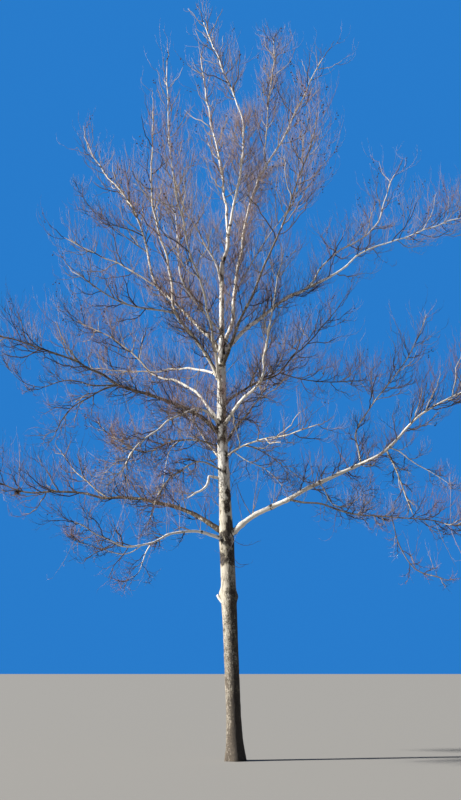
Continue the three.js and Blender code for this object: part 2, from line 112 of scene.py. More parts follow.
def plain_finish(name, colour, roughness, shine=0.25):
    """A material of one plain colour."""
    material = bpy.data.materials.new(name)
    material.use_nodes = True
    inputs = material.node_tree.nodes["Principled BSDF"].inputs
    inputs["Base Color"].default_value = (*colour, 1)
    inputs["Roughness"].default_value = roughness
    inputs["Specular IOR Level"].default_value = shine
    return material


bpy.ops.object.light_add(type="SUN", rotation=(-key_from).to_track_quat("-Z", "Y").to_euler())
key_lamp = bpy.context.object
key_lamp.name = "key_lamp"
key_lamp.data.energy = key_strength
key_lamp.data.angle = key_softness
key_lamp.data.color = key_colour

room = bpy.data.worlds.new("room")
room.use_nodes = True
nodes, links = room.node_tree.nodes, room.node_tree.links
fill, backdrop = nodes["Background"], nodes.new("ShaderNodeBackground")
fill.inputs["Color"].default_value = (*fill_colour, 1)
backdrop.inputs["Color"].default_value = (*backdrop_colour, 1)
seen, either = nodes.new("ShaderNodeLightPath"), nodes.new("ShaderNodeMixShader")
links.new(seen.outputs["Is Camera Ray"], either.inputs[0])
links.new(fill.outputs[0], either.inputs[1])
links.new(backdrop.outputs[0], either.inputs[2])
links.new(either.outputs[0], nodes["World Output"].inputs["Surface"])
bpy.context.scene.world = room
bpy.context.scene.view_settings.view_transform = "Standard"

bpy.ops.mesh.primitive_plane_add(size=floor_size, location=(0, 0, 0))
floor = bpy.context.object
floor.name = "floor"
floor.data.materials.append(plain_finish("floor_paint", floor_colour, 0.9, shine=0.5))
print("lamp, room and floor in place")

# %% [markdown]
# ## Bark
#
# Sycamore bark does not stretch. It breaks into plates that fall off, first brown, then olive tan, and leave
# cream wood-like skin behind. An image would show this too, but it would have to be wrapped round every limb.
# A node group works in the object's own coordinates instead, so that one pattern fits trunk and boughs alike.
# Cells of a Voronoi texture are the plates. They lie among the colours of a noise, which makes their outlines
# wind, and a second, slow noise decides where many or few have fallen.

# %% Small helpers for node trees
mix_sockets = {"RGBA": (6, 7, 2), "VECTOR": (4, 5, 1)}  # of a Mix node: its two ends and its output


class Wire:
    """A node's output. Its sums and products are Math nodes, and a | b is the larger of the two."""

    def __init__(self, node, output=0):
        self.tree, self.socket = node.id_data, node.outputs[output]

    def math(self, operation, *values):
        values = dict(enumerate(values))
        return Wire(put(self.tree, "ShaderNodeMath", values, operation=operation))

    def __add__(self, other):
        return self.math("ADD", self, other)

    def __sub__(self, other):
        return self.math("SUBTRACT", self, other)

    def __rsub__(self, other):
        return self.math("SUBTRACT", other, self)

    def __mul__(self, other):
        return self.math("MULTIPLY", self, other)

    def __or__(self, other):
        return self.math("MAXIMUM", self, other)

    def __abs__(self):
        return self.math("ABSOLUTE", self)


def put(tree, kind, inputs, **settings):
    """A node with its settings, and with a wire, a number or a colour at each input that is named."""
    node = tree.nodes.new(kind)
    for name, value in settings.items():
        setattr(node, name, value)
    for name, value in inputs.items():
        socket = node.inputs[name]
        if isinstance(value, Wire):
            tree.links.new(value.socket, socket)
        else:
            socket.default_value = (*value, 1) if socket.type == "RGBA" else value
    return node


def fade(value, low, high):
    """0 where value is at low and 1 where it is at high, with soft ends."""
    inputs = {"Value": value, "From Min": low, "From Max": high}
    return Wire(put(value.tree, "ShaderNodeMapRange", inputs, interpolation_type="SMOOTHSTEP"))


def mix(share, first, second, kind="RGBA"):
    """A colour or a place between two."""
    tree = next(value.tree for value in (share, first, second) if isinstance(value, Wire))
    one_end, other_end, output = mix_sockets[kind]
    inputs = {0: share, one_end: first, other_end: second}
    return Wire(put(tree, "ShaderNodeMix", inputs, data_type=kind), output)


def stretched(place, upwards):
    return Wire(put(place.tree, "ShaderNodeMapping", {"Vector": place, "Scale": (1.0, 1.0, upwards)}))


def noise(place, scale, detail, roughness=0.5, output="Fac"):
    inputs = {"Vector": place, "Scale": scale, "Detail": detail, "Roughness": roughness}
    return Wire(put(place.tree, "ShaderNodeTexNoise", inputs), output)


def winding(place, scale, share):
    """A place among the colours of a noise, where Voronoi cells turn into winding patches."""
    return mix(share, noise(place, scale, 3.0, output="Color"), (0.0, 0.0, 0.0), "VECTOR")


def cell_chances(place, scale):
    """Two random numbers for each cell of a Voronoi texture."""
    cells = put(place.tree, "ShaderNodeTexVoronoi", {"Vector": place, "Scale": scale})
    parts = put(place.tree, "ShaderNodeSeparateColor", {"Color": Wire(cells, "Color")})
    return Wire(parts, "Red"), Wire(parts, "Green")


def attribute(tree, name):
    return Wire(put(tree, "ShaderNodeAttribute", {}, attribute_name=name), "Fac")


print("node helpers ready")

# %% The colours of bark
cream_bark = (0.76, 0.70, 0.585)
buff_bark = (0.47, 0.41, 0.29)
olive_bark = (0.235, 0.205, 0.135)
brown_bark = (0.105, 0.084, 0.064)
scaly_bark = (0.20, 0.160, 0.118)
# The darker scaly bark here is painted shade for the side of the trunk away from the lamp.
painted_shade_bark = (0.085, 0.068, 0.052)
flecked_bark = (0.48, 0.42, 0.34)
crack_bark = (0.022, 0.017, 0.013)
young_bark = (0.25, 0.205, 0.155)
white_skin = (0.92, 0.90, 0.84)
# This darkened cream is painted shade on the lower trunk, which the lamp lights fully below the crown; it
# also gives the palest flecks of the scales.
cream_in_painted_shade = (0.47, 0.43, 0.35)
streak_bark = (0.17, 0.140, 0.100)
print("twelve bark colours")


# %% Node group of falling plates
def make_flaking_group():
    """Plates of bark: the colour of a place, how far it stands out, and how pale it is."""
    tree = bpy.data.node_groups.new("flaking_bark", "ShaderNodeTree")
    for name, kind in (("Place", "Vector"), ("Age", "Float"), ("Plates", "Float")):
        tree.interface.new_socket(name, in_out="INPUT", socket_type="NodeSocket" + kind)
    for name, kind in (("Colour", "Color"), ("Height", "Float"), ("Pale", "Float")):
        tree.interface.new_socket(name, in_out="OUTPUT", socket_type="NodeSocket" + kind)
    ins = put(tree, "NodeGroupInput", {})
    place, age = stretched(Wire(ins, "Place"), 0.55), Wire(ins, "Age")
    luck, shade = cell_chances(winding(place, 11.0, 0.09), Wire(ins, "Plates"))
    speck = noise(place, 34.0, 2.0)
    fallen = luck * 0.55 + noise(place, 1.6, 2.0) * 0.75 + speck * 0.14
    pale = fade(fallen, age + 0.17, age + 0.23)
    middle = fade(fallen, age + 0.02, age + 0.06)
    newest = mix(speck * 0.35, mix(shade, cream_bark, buff_bark), buff_bark)
    newest = mix(0.62, newest, cream_bark)
    colour = mix(pale, mix(middle, brown_bark, olive_bark), newest)
    put(tree, "NodeGroupOutput", {"Colour": colour, "Height": 1.0 - pale * 0.6 - middle * 0.3, "Pale": pale})
    return tree


flaking_bark = make_flaking_group()
print("group", flaking_bark.name, "has", len(flaking_bark.nodes), "nodes")


# %% Start and finish of a bark material
def start_bark(name, age, plates):
    """A material with falling plates: itself, the place on the surface, and what the group puts out."""
    material = bpy.data.materials.new(name)
    material.use_nodes = True
    tree = material.node_tree
    place = Wire(put(tree, "ShaderNodeTexCoord", {}), "Object")
    inputs = {"Place": place, "Age": age, "Plates": plates}
    falling = put(tree, "ShaderNodeGroup", inputs, node_tree=flaking_bark)
    return material, place, Wire(falling, "Colour"), Wire(falling, "Height"), Wire(falling, "Pale")


def end_bark(material, colour, rough, height, distance):
    """Give the shader its colour, its roughness, and the relief as a bump of that distance."""
    tree = material.node_tree
    shader = tree.nodes["Principled BSDF"]
    bump = Wire(put(tree, "ShaderNodeBump", {"Height": height, "Distance": distance, "Strength": 1.0}))
    for name, wire in (("Base Color", colour), ("Roughness", rough), ("Normal", bump)):
        tree.links.new(wire.socket, shader.inputs[name])
    shader.inputs["Specular IOR Level"].default_value = 0.3
    return material


print("bark can be made")

# %% Bark of the trunk
scales_end = 3.75  # metres up the lit side of the trunk, where the scaly bark gives way to falling plates
painted_shade_side_higher = 1.3  # the same edge lies this much higher on the side away from the lamp, as painted shade
lean_per_metre = 0.041  # the trunk leans towards minus x
plates_middle = 6.3  # middle of the band where brown plates still hang on
knob_height = 4.65  # and of the small band at the old knobs
fork_height = 12.4  # where the great limbs part
streaks_and_painted_shade_down_to = (7.6, 5.9)  # heights between which the bare skin takes on its streaks and a painted shade that darkens it below
whitening = (6.9, 8.8)  # heights between which it turns from cream to white
scales_fineness = 12.5


def make_trunk_bark():
    """Scales at the foot, brown and tan plates over them, cream bark above."""
    material, place, colour, height, pale = start_bark("trunk_bark", 0.29, 6.0)
    parts = put(place.tree, "ShaderNodeSeparateXYZ", {"Vector": place})
    up_trunk = Wire(parts, "Z")
    # Painted shade: on the side away from the lamp, towards plus x, the scales are darker, pale flecks fewer,
    # old plates more and the scaly bark reaches higher.
    painted_shade = fade(Wire(parts, "X") + up_trunk * lean_per_metre + noise(place, 4.0, 3.0) * 0.16, -0.05, 0.13)

    in_band = fade(abs(up_trunk - plates_middle), 1.05, 0.55)
    at_knobs = fade(abs(up_trunk - knob_height), 0.50, 0.15)
    at_fork = fade(abs(up_trunk - fork_height), 0.8, 0.1) * 0.55
    # Old plates lie in real bands, and more of them on the side away from the lamp as painted shade.
    old_plates_and_painted_shade = (in_band | at_knobs | at_fork) * (painted_shade * 0.75 + 0.35) | in_band * 0.62 | painted_shade * 0.42
    patch = noise(stretched(place, 0.6), 3.4, 4.0, 0.62) + old_plates_and_painted_shade * 0.235
    old_plate = fade(patch, 0.655, 0.685)
    old_colour = mix(fade(noise(place, 21.0, 3.0), 0.35, 0.7), crack_bark, brown_bark)
    streaks = fade(noise(stretched(place, 0.25), 15.0, 5.0, 0.7), 0.48, 0.60)
    # Below the crown the bare skin gets real streaks and a painted shade that makes it darker.
    low_skin = mix(streaks * 0.85, cream_in_painted_shade, streak_bark)
    skin = mix(fade(up_trunk, *streaks_and_painted_shade_down_to) * pale, colour, low_skin)
    skin = mix(fade(up_trunk, *whitening) * 0.7 * pale, skin, white_skin)
    shed = mix(fade(patch, 0.60, 0.66) * 0.75, skin, olive_bark)
    shed = mix(old_plate, shed, old_colour)
    at_collar = attribute(place.tree, "collar") * 0.55 + noise(place, 8.0, 4.0, 0.65)
    shed = mix(fade(at_collar, 0.80, 0.90), shed, old_colour)

    long_place = stretched(place, 0.55)
    patches = winding(long_place, 9.0, 0.06)
    inputs = {"Vector": patches, "Scale": scales_fineness}
    cracks = put(place.tree, "ShaderNodeTexVoronoi", inputs, feature="DISTANCE_TO_EDGE")
    open_crack = fade(Wire(cracks, "Distance"), 0.0, 0.10)
    luck, other_luck = cell_chances(patches, scales_fineness)
    grain = noise(place, 24.0, 5.0, 0.65)
    fleck = luck * 0.55 + noise(long_place, 3.2, 3.0) * 0.9 + grain * 0.35 + up_trunk * 0.06 - painted_shade * 0.17
    base = mix(painted_shade, scaly_bark, painted_shade_bark)
    plate = mix(0.65, mix(grain, crack_bark, base), base)
    plate = mix(fade(fleck, 1.02, 1.18), plate, mix(painted_shade, flecked_bark, olive_bark))
    plate = mix(fade(fleck, 1.215, 1.255), plate, cream_in_painted_shade)
    scales = mix(open_crack + 0.15, crack_bark, plate)

    edge = up_trunk + noise(place, 2.3, 3.0) * 1.4 + other_luck * 1.7 - painted_shade * painted_shade_side_higher
    scaly = fade(edge, scales_end + 1.62, scales_end + 1.48)
    relief = open_crack * scaly * 1.4 + height * 0.5 + old_plate * 0.8 + grain * 0.25
    return end_bark(material, mix(scaly, shed, scales), 0.90 - pale * 0.25, relief, 0.010)


trunk_bark = make_trunk_bark()
print("material", trunk_bark.name)


# %% Bark of the boughs
def make_limb_bark(name, age, old_top, youth, white_share_and_painted_light):
    """Falling plates, dark rings at the attribute knot, and old bark left on the upper side."""
    material, place, colour, height, pale = start_bark(name, age, 9.0)
    ragged = noise(place, 11.0, 4.0, 0.6)
    dark = fade(attribute(place.tree, "knot") * 0.75 + ragged * 1.5, 1.18, 1.34)
    on_top = attribute(place.tree, "topside") * 0.30 + noise(place, 5.0, 4.0, 0.6)
    dark = dark | fade(on_top, 0.98 - 0.5 * old_top, 1.04 - 0.5 * old_top)
    # Painted light: white skin mixed in, partly the bark's own paleness and partly to lighten limbs in the
    # shadow of the twigs.
    colour = mix(white_share_and_painted_light, colour, white_skin)
    colour = mix(attribute(place.tree, "young") * youth, colour, young_bark)
    colour = mix(dark, colour, brown_bark)
    return end_bark(material, colour, 0.85 - pale * 0.25, height + ragged * 0.4, 0.004)


# For each kind: the age of the plates, old bark on the upper side, young bark at the tips, and a share of
# white skin, partly the bark's own paleness and partly painted light against the shadow of the twigs.
kinds = dict(pale=(0.18, 0.05, 0.20, 0.55), mixed=(0.34, 0.75, 0.40, 0.22), dark=(0.74, 1.0, 0.30, 0.0),
             white=(0.08, -0.2, 0.0, 0.9), fading=(0.18, 0.35, 1.0, 0.7))
limb_barks = {kind: make_limb_bark(kind + "_bark", *numbers) for kind, numbers in kinds.items()}
print("limb bark:", *limb_barks)

# %% [markdown]
# ## Colours of twigs and seed balls
#
# A twig is a few millimetres thick, so no pattern on it is ever seen. What is seen is that whole sprays
# differ: some are pale buff, some grey, some reddish brown. Each spray is dealt one plain colour for its
# older twigs and one for its young shoots. This stays true in an exported model, where a pattern that falls
# on thousands of thin tubes would smear.

# %% Plain colours of twigs and seed balls
twig_finishes = [
    plain_finish("cream_twigs", (0.50, 0.44, 0.35), 0.75),
    plain_finish("buff_twigs", (0.27, 0.22, 0.165), 0.8),
    plain_finish("brown_twigs", (0.115, 0.085, 0.062), 0.85),
    plain_finish("grey_shoots", (0.36, 0.30, 0.33), 0.8),
    plain_finish("red_brown_shoots", (0.25, 0.15, 0.14), 0.8),
    plain_finish("tan_shoots", (0.42, 0.32, 0.27), 0.8),
    plain_finish("dark_shoots", (0.050, 0.036, 0.032), 0.85),
]
# The same colours, one letter each: cream, buff, brown, grey, red brown, tan and dark.
colour_letters = "cbngrtd"
seed_ball_finish = plain_finish("seed_balls", (0.075, 0.048, 0.030), 0.95)
print(len(twig_finishes), "twig colours")

# %% [markdown]
# ## Rule of growth
#
# The construction model grows its limbs by a rule, and so does this scene, with the same sizes and the same
# seeds. A limb has a heading, a list of rises that it turns through, a length and two diameters. A mass of
# twigs has one stem, and its arms leave the stem by the golden angle. Chance comes from a formula of a seed
# and a number, not from a stream of random numbers, so one twig can be left out and no other changes.

# %% Sizes of the trunk
trunk_top = 16.4
trunk_girth = (
    (0.0, 0.500), (0.7, 0.460), (1.4, 0.430), (3.6, 0.436), (4.3, 0.452), (5.9, 0.448), (6.4, 0.470),
    (7.1, 0.398), (8.6, 0.345), (10.6, 0.300), (12.3, 0.262), (12.9, 0.172), (14.6, 0.150), (16.4, 0.128),
)
lean = dict(reach=-0.41, height=10.0, power=1.1)
kink = dict(shift=0.19, start=15.2, over=0.8)
flare = dict(reach=0.110, fade=0.420, lobes=5, turn=25, least=0.35)
knobs = (
    dict(height=4.72, heading=180, reach=0.075, half=0.19),
    dict(height=4.65, heading=0, reach=0.062, half=0.17),
    dict(height=4.50, heading=285, reach=0.040, half=0.20),
)
print("trunk", trunk_top, "m tall,", trunk_girth[2][1], "m thick at breast height")

# %% Sizes of the boughs
# Name, bearer, height on the trunk or share of the bearer, heading, rises, length, diameters of foot and tip.
bough_rows = (
    ("right_low", "trunk", 6.45, 348, (39, 28, 22, 26, 25), 5.6, 0.18, 0.086),
    ("right_riser", "right_low", 0.83, 350, (97, 91), 1.1, 0.066, 0.05),
    ("right_droop", "right_low", 0.4, 335, (-4, -24, -12, -4), 3.3, 0.066, 0.04),
    ("left_low", "trunk", 6.55, 172, (34, 27, 7, 4), 4.05, 0.166, 0.082),
    ("left_droop", "trunk", 6.35, 215, (27, 2, -17, -24), 2.8, 0.108, 0.06),
    ("left_mid", "trunk", 9.6, 188, (50, 26, 17, 19), 3.75, 0.15, 0.08),
    ("left_inner", "trunk", 9.75, 145, (66, 49, 32, 9), 3.65, 0.11, 0.062),
    ("left_hanging", "trunk", 9.95, 235, (42, -6, -26, -33), 3.05, 0.092, 0.048),
    ("left_level", "trunk", 11.45, 130, (33, 19, 7, 10), 3.9, 0.092, 0.05),
    ("left_upper", "trunk", 11.25, 214, (60, 47, 46), 2.75, 0.128, 0.094),
    ("left_leader", "trunk", 12.25, 148, (58, 47, 45, 46), 3.85, 0.136, 0.086),
    ("right_upper", "trunk", 12.3, 12, (54, 43, 37, 26), 3.85, 0.146, 0.092),
    ("right_far", "right_upper", 1, 5, (20, 43, 31), 2.65, 0.084, 0.052),
    ("right_knob", "trunk", 9.85, 312, (42, 35, 27), 2.2, 0.116, 0.078),
    ("right_behind", "trunk", 10.5, 48, (45, 33, 24, 28), 3.4, 0.1, 0.058),
    ("right_stem", "trunk", 12.3, 40, (64, 83, 79, 75, 59), 7.5, 0.142, 0.07),
    ("right_shoot", "right_stem", 0.3, 330, (65, 50, 57), 1.95, 0.052, 0.038),
    ("top", "trunk", 16.25, 290, (56, 48, 83, 80), 3.8, 0.092, 0.054),
    ("left_lead", "trunk", 14.6, 210, (60, 81, 31), 1.7, 0.078, 0.052),
    ("back_left", "trunk", 8.3, 100, (48, 30, 20, 24), 3.7, 0.112, 0.062),
    ("back_right", "trunk", 9.1, 72, (44, 34, 30, 34), 3.8, 0.116, 0.064),
    ("front_left", "trunk", 10.9, 262, (38, 36, 30, 30), 3.6, 0.104, 0.06),
    ("front_right", "trunk", 11.8, 296, (46, 40, 34, 38), 3.7, 0.108, 0.062),
)
boughs = []
for name, bearer, at, heading, rises, length, foot, tip in bough_rows:
    on = bearer if bearer == "trunk" else bearer + "_bough"
    boughs.append(dict(name=name + "_bough", on=on, at=at, heading=heading, rises=rises, length=length,
                       foot=foot, tip=tip))
print(len(boughs), "boughs")

# %% Sizes of the twig masses
# Name, bough that bears it, heading, rises, length of the stem, spread, arms, marks, and the share of shoots
# missing at the tip. Marks: a leaves aside, h hangs, u strives upwards, f is fuller and o is opener.
mass_rows = (
    ("right_low", "right_low", 348, (61, 36, 25, 26, 12), 4.3, 2, 6, "", 0),
    ("right_hanging", "right_low", 330, (-40, -80, -80, -60), 2.2, 0.9, 4, "ah", 0.6),
    ("right_riser", "right_riser", 352, (58, 48, 56, 66), 3.6, 1.7, 6, "", 0.7),
    ("right_droop", "right_droop", 348, (-4, -12, 8), 2.7, 1.3, 5, "f", 0),
    ("right_tail", "right_droop", 335, (-84, -70, -42, 4), 2.6, 0.7, 4, "aho", 0),
    ("left_low", "left_low", 174, (12, 4, 2, 22, 26), 4.5, 1.9, 6, "", 0),
    ("left_low_rising", "left_low", 160, (50, 30, 40, 66), 2.3, 1.4, 4, "ao", 0.4),
    ("left_droop", "left_droop", 215, (-34, 12, 22, 20), 2.6, 1.6, 6, "ho", 0),
    ("left_mid", "left_mid", 186, (31, 25, 18, 13, 16), 4.9, 2, 6, "", 0),
    ("left_mid_low", "left_mid", 205, (-34, -25, -48, -72), 2.55, 1.3, 5, "aho", 0),
    ("left_inner", "left_inner", 150, (41, 45, 29, 32), 4.2, 2, 7, "", 0),
    ("left_hanging", "left_hanging", 215, (-28, -50, -62), 2.3, 1.5, 5, "hf", 0),
    ("left_level", "left_level", 145, (12, 10, 14), 3, 1.8, 6, "", 0),
    ("left_upper", "left_upper", 224, (86, 74, 64, 88, 91, 89), 6.7, 1.9, 8, "ou", 0.6),
    ("left_upper_side", "left_upper", 206, (0, 1, 22, 40), 3.5, 1.7, 6, "ao", 0.6),
    ("left_leader", "left_leader", 132, (62, 72, 48, 48, 61), 8.6, 2.3, 8, "fu", 0.7),
    ("left_leader_side", "left_leader", 172, (34, 31, 25, 36), 3.9, 1.9, 6, "ao", 0.6),
    ("left_crook", "trunk", 240, (26, 9, 42, 86, 78), 4.7, 1.4, 6, "f", 0),
    ("left_arch", "trunk", 150, (37, 4, -17, 30, 35), 4.9, 1.4, 6, "f", 0),
    ("left_bow", "trunk", 225, (24, -7, -36, -48, -86), 3.9, 1.1, 4, "hf", 0),
    ("right_far", "right_far", 4, (17, 22, 25, 12), 3.7, 2, 7, "", 0),
    ("right_arm", "right_upper", 38, (58, 42, 30, 73, 59), 7.2, 2, 7, "ao", 0.5),
    ("right_knob", "right_knob", 320, (83, 76, 73), 3.6, 1.5, 5, "u", 0),
    ("right_behind", "right_behind", 40, (52, 39, 49, 46), 4.2, 2, 7, "o", 0.4),
    ("right_behind_low", "right_behind", 22, (-8, -1, 6, 10), 3.3, 1.6, 5, "a", 0),
    ("right_spray", "trunk", 322, (26, 6, 2, 14), 3.6, 1.7, 6, "o", 0.4),
    ("right_stem", "right_stem", 350, (56, 65, 62, 65), 4.5, 2, 8, "ou", 0.65),
    ("right_stem_inner", "right_stem", 310, (98, 78, 78, 97), 4.9, 1.6, 7, "afu", 0.2),
    ("right_shoot", "right_shoot", 318, (32, 41, 87, 85), 3.9, 1.8, 6, "ou", 0.4),
    ("top", "top", 190, (79, 65, 69, 70), 3.8, 1.9, 8, "u", 0.88),
    ("top_left", "trunk", 128, (87, 79, 72, 77, 81), 7.6, 1.8, 8, "u", 0.75),
    ("left_lead", "left_lead", 248, (9, 29, 71, 85, 88), 6.1, 1.8, 8, "ou", 0.8),
    ("back_left", "back_left", 108, (26, 34, 30, 44), 4.2, 2.3, 7, "", 0),
    ("back_right", "back_right", 66, (36, 44, 40, 56), 4.4, 2.3, 7, "", 0),
    ("front_left", "front_left", 252, (34, 40, 50, 60), 4.1, 2.3, 7, "ou", 0),
    ("front_right", "front_right", 300, (42, 50, 46, 62), 4.3, 2.3, 7, "ou", 0),
)
# Height and diameter at which a stem leaves the trunk itself.
feet_on_trunk = dict(left_crook=(13, 0.062), left_arch=(9.2, 0.062), left_bow=(8.5, 0.058),
                     right_spray=(8.9, 0.07), top_left=(16.25, 0.084))
masses = []
for name, bearer, heading, rises, length, spread, arms, marks, missing in mass_rows:
    on = bearer if bearer == "trunk" else bearer + "_bough"
    masses.append(dict(name=name + "_twigs", on=on, heading=heading, rises=rises, length=length,
                       spread=spread, arms=arms, marks=marks, missing=missing, seed=len(masses) + 1,
                       hanging="h" in marks, aside="a" in marks, foot=feet_on_trunk.get(name)))
sizes = {entry["name"]: entry for entry in boughs + masses}
print(len(masses), "masses")

# %% Numbers of the rule
arm_rule = dict(first=0.14, last=0.97, stray=0.8, turn=137.5, turn_stray=50, lean=(32, 58), length=(0.7, 1.0),
                fall=0.45, lift=0.6, droop=-0.45, girth=0.62)
twig_rule = dict(places=(0.34, 0.66), seed=0.37, turn=180, turn_stray=90, lean=(26, 50), length=(0.34, 0.52),
                 fall=0.35, lift=0.3, girth=0.46)
stem_rule = dict(tip=0.034, on_tip=0.92, aside=0.72, aside_start=0.9)
bough_spacing = 0.95
stem_spacing = 1.0
steps_per_stretch = 6
up = np.array((0.0, 0.0, 1.0))


def chance(seed, number):
    """A number from 0 to 1 that looks random and is always the same for the same seed and number."""
    wave = np.sin(np.asarray(seed) * 12.9898 + np.asarray(number) * 78.233) * 43758.5453
    return wave - np.floor(wave)


def between(limits, share):
    return limits[0] + (limits[1] - limits[0]) * share


def ease(x):
    x = np.clip(x, 0.0, 1.0)
    return x * x * (3 - 2 * x)


def unit(vectors):
    return vectors / np.linalg.norm(vectors, axis=-1, keepdims=True)


print("a chance:", round(float(chance(1, 1)), 4))


# %% Where a limb goes
def pointing(heading, rise):
    heading, rise = np.radians(heading), np.radians(rise)
    return np.stack((np.cos(heading) * np.cos(rise), np.sin(heading) * np.cos(rise), np.sin(rise)), axis=-1)


def trunk_axis(height):
    leaned = lean["reach"] * np.minimum(height / lean["height"], 1) ** lean["power"]
    kinked = kink["shift"] * ease((height - kink["start"]) / kink["over"])
    return np.stack((leaned + kinked, 0 * leaned, height + 0 * leaned), axis=-1)


def trunk_radius(height):
    heights, widths = zip(*trunk_girth)
    return np.interp(height, heights, widths) / 2


def place_on(at, away, points):
    """The places at those distances along a line."""
    return np.stack([np.interp(at, away, points[:, axis]) for axis in range(3)], axis=-1)


def course(start, limb, foot_radius, tip_radius, spacing):
    """Stations of a limb: places, radii, and the direction in which it ends."""
    stretches = max(2, math.floor(limb["length"] / spacing + 0.5))
    steps = stretches * steps_per_stretch
    turns = np.linspace(0, 1, len(limb["rises"]))
    ways = pointing(limb["heading"], np.interp((np.arange(steps) + 0.5) / steps, turns, limb["rises"]))
    reached = np.cumsum(ways, axis=0)[steps_per_stretch - 1::steps_per_stretch] * limb["length"] / steps
    return dict(places=np.vstack((start, start + reached)), end_way=ways[-1],
                radii=np.linspace(foot_radius, tip_radius, stretches + 1))


# %% Paths of all boughs and stems
paths = {}
for bough in boughs:
    if bough["on"] == "trunk":
        start = trunk_axis(bough["at"])
    else:
        bearer = paths[bough["on"]]["places"]
        start = place_on(bough["at"] * (len(bearer) - 1), np.arange(len(bearer)), bearer)
    paths[bough["name"]] = course(start, bough, bough["foot"] / 2, bough["tip"] / 2, bough_spacing)

for mass in masses:
    if mass["foot"]:
        start, foot_radius = trunk_axis(mass["foot"][0]), mass["foot"][1] / 2
    else:
        parent = paths[mass["on"]]
        back = stem_rule["aside_start"] * parent["radii"][-1] if mass["aside"] else 0.0
        start = parent["places"][-1] - parent["end_way"] * back
        foot_radius = parent["radii"][-1] * stem_rule["aside" if mass["aside"] else "on_tip"]
    paths[mass["name"]] = course(start, mass, foot_radius, stem_rule["tip"] / 2, stem_spacing)

# How far a bough's tip strays from the box of its solid in the construction model.
strays = []
for bough in boughs:
    low, high = np.array(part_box(bough["name"]))
    tip = paths[bough["name"]]["places"][-1]
    strays.append(max(0.0, *(low - tip), *(tip - high)))
print(len(paths), "paths; a bough's tip strays", round(float(max(strays)), 4), "m at most from its solid")

# %% [markdown]
# ## Trunk
#
# The trunk is one long column that leans a little, swells into lobes where the roots begin, and carries a
# few knobs where limbs once broke off. It could be a curve with a bevel, but a curve stays round. It is
# modelled as by hand instead: a circle is extruded upwards ring by ring, the lobes and knobs are pushed out
# with proportional editing, and a flat cut at ground level takes away what would be in the earth.

# %% Modelling helpers
def pick(piece):
    """Select this piece and no other, in object mode."""
    if bpy.context.object and bpy.context.object.mode != "OBJECT":
        bpy.ops.object.mode_set(mode="OBJECT")
    bpy.ops.object.select_all(action="DESELECT")
    piece.select_set(True)
    bpy.context.view_layer.objects.active = piece


def finish_piece(piece, name, finishes, smooth=False):
    """Name, materials, place applied, and the body that the piece rides on."""
    pick(piece)
    bpy.ops.object.transform_apply(location=True, rotation=True, scale=True)
    if smooth:
        bpy.ops.object.shade_smooth()
    piece.name = name
    piece.data.name = name
    for material in finishes:
        piece.data.materials.append(material)
    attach(piece, "root")


def apply_last(piece):
    pick(piece)
    bpy.ops.object.modifier_apply(modifier=piece.modifiers[-1].name)


def round_off(piece, levels):
    rounding = piece.modifiers.new("rounding", "SUBSURF")
    rounding.levels = levels
    rounding.render_levels = levels
    apply_last(piece)


def triangles_of(piece):
    return sum(len(face.vertices) - 2 for face in piece.data.polygons)


def points_of(piece):
    """The places of a piece's vertices as rows."""
    points = np.empty(len(piece.data.vertices) * 3)
    piece.data.vertices.foreach_get("co", points)
    return points.reshape(-1, 3)


def paint(piece, name, values):
    """A float attribute with one value for each vertex."""
    layer = piece.data.attributes.new(name, "FLOAT", "POINT")
    layer.data.foreach_set("value", np.asarray(values, dtype=np.float32))


print("modelling helpers ready")

# %% Extrude the trunk
trunk_sides = 24
ring_spacing = 0.09
below_ground = 0.18
crown_of_trunk = 0.06

radius = trunk_radius(0)
bpy.ops.mesh.primitive_circle_add(vertices=trunk_sides, radius=radius, fill_type="NGON",
                                  location=(0, 0, -below_ground))
trunk = bpy.context.object
bpy.ops.object.transform_apply(location=True, rotation=False, scale=False)
bpy.ops.object.mode_set(mode="EDIT")
bpy.ops.mesh.select_all(action="SELECT")
here = np.array((0, 0, -below_ground))
heights = [0.0, *np.arange(ring_spacing, trunk_top, ring_spacing), trunk_top, trunk_top + crown_of_trunk]
for height in heights:
    there = trunk_axis(min(height, trunk_top)) * (1, 1, 0) + (0, 0, height)
    next_radius = trunk_radius(height) * (0.5 if height > trunk_top else 1.0)
    bpy.ops.mesh.extrude_region_move(TRANSFORM_OT_translate={"value": tuple(there - here)})
    share = next_radius / radius
    bpy.ops.transform.resize(value=(share, share, 1), center_override=tuple(there))
    here, radius = there, next_radius
bpy.ops.object.mode_set(mode="OBJECT")
print("trunk cage of", len(trunk.data.polygons), "faces")


# %% Push out the lobes of the root flare and the knobs
def push_out(piece, heading, height, reach, size):
    """Move the vertex that faces heading at that height outwards, and its surroundings with it."""
    out = pointing(heading, 0)
    target = trunk_axis(height) + out * trunk_radius(height)
    nearest = int(np.linalg.norm(points_of(piece) - target, axis=1).argmin())
    pick(piece)
    bpy.ops.object.mode_set(mode="EDIT")
    bpy.ops.mesh.select_mode(type="VERT")
    bpy.ops.mesh.select_all(action="DESELECT")
    bpy.ops.object.mode_set(mode="OBJECT")
    piece.data.vertices[nearest].select = True
    bpy.ops.object.mode_set(mode="EDIT")
    bpy.ops.transform.translate(value=tuple(out * reach), use_proportional_edit=True,
                                proportional_edit_falloff="SMOOTH", proportional_size=size)
    bpy.ops.object.mode_set(mode="OBJECT")


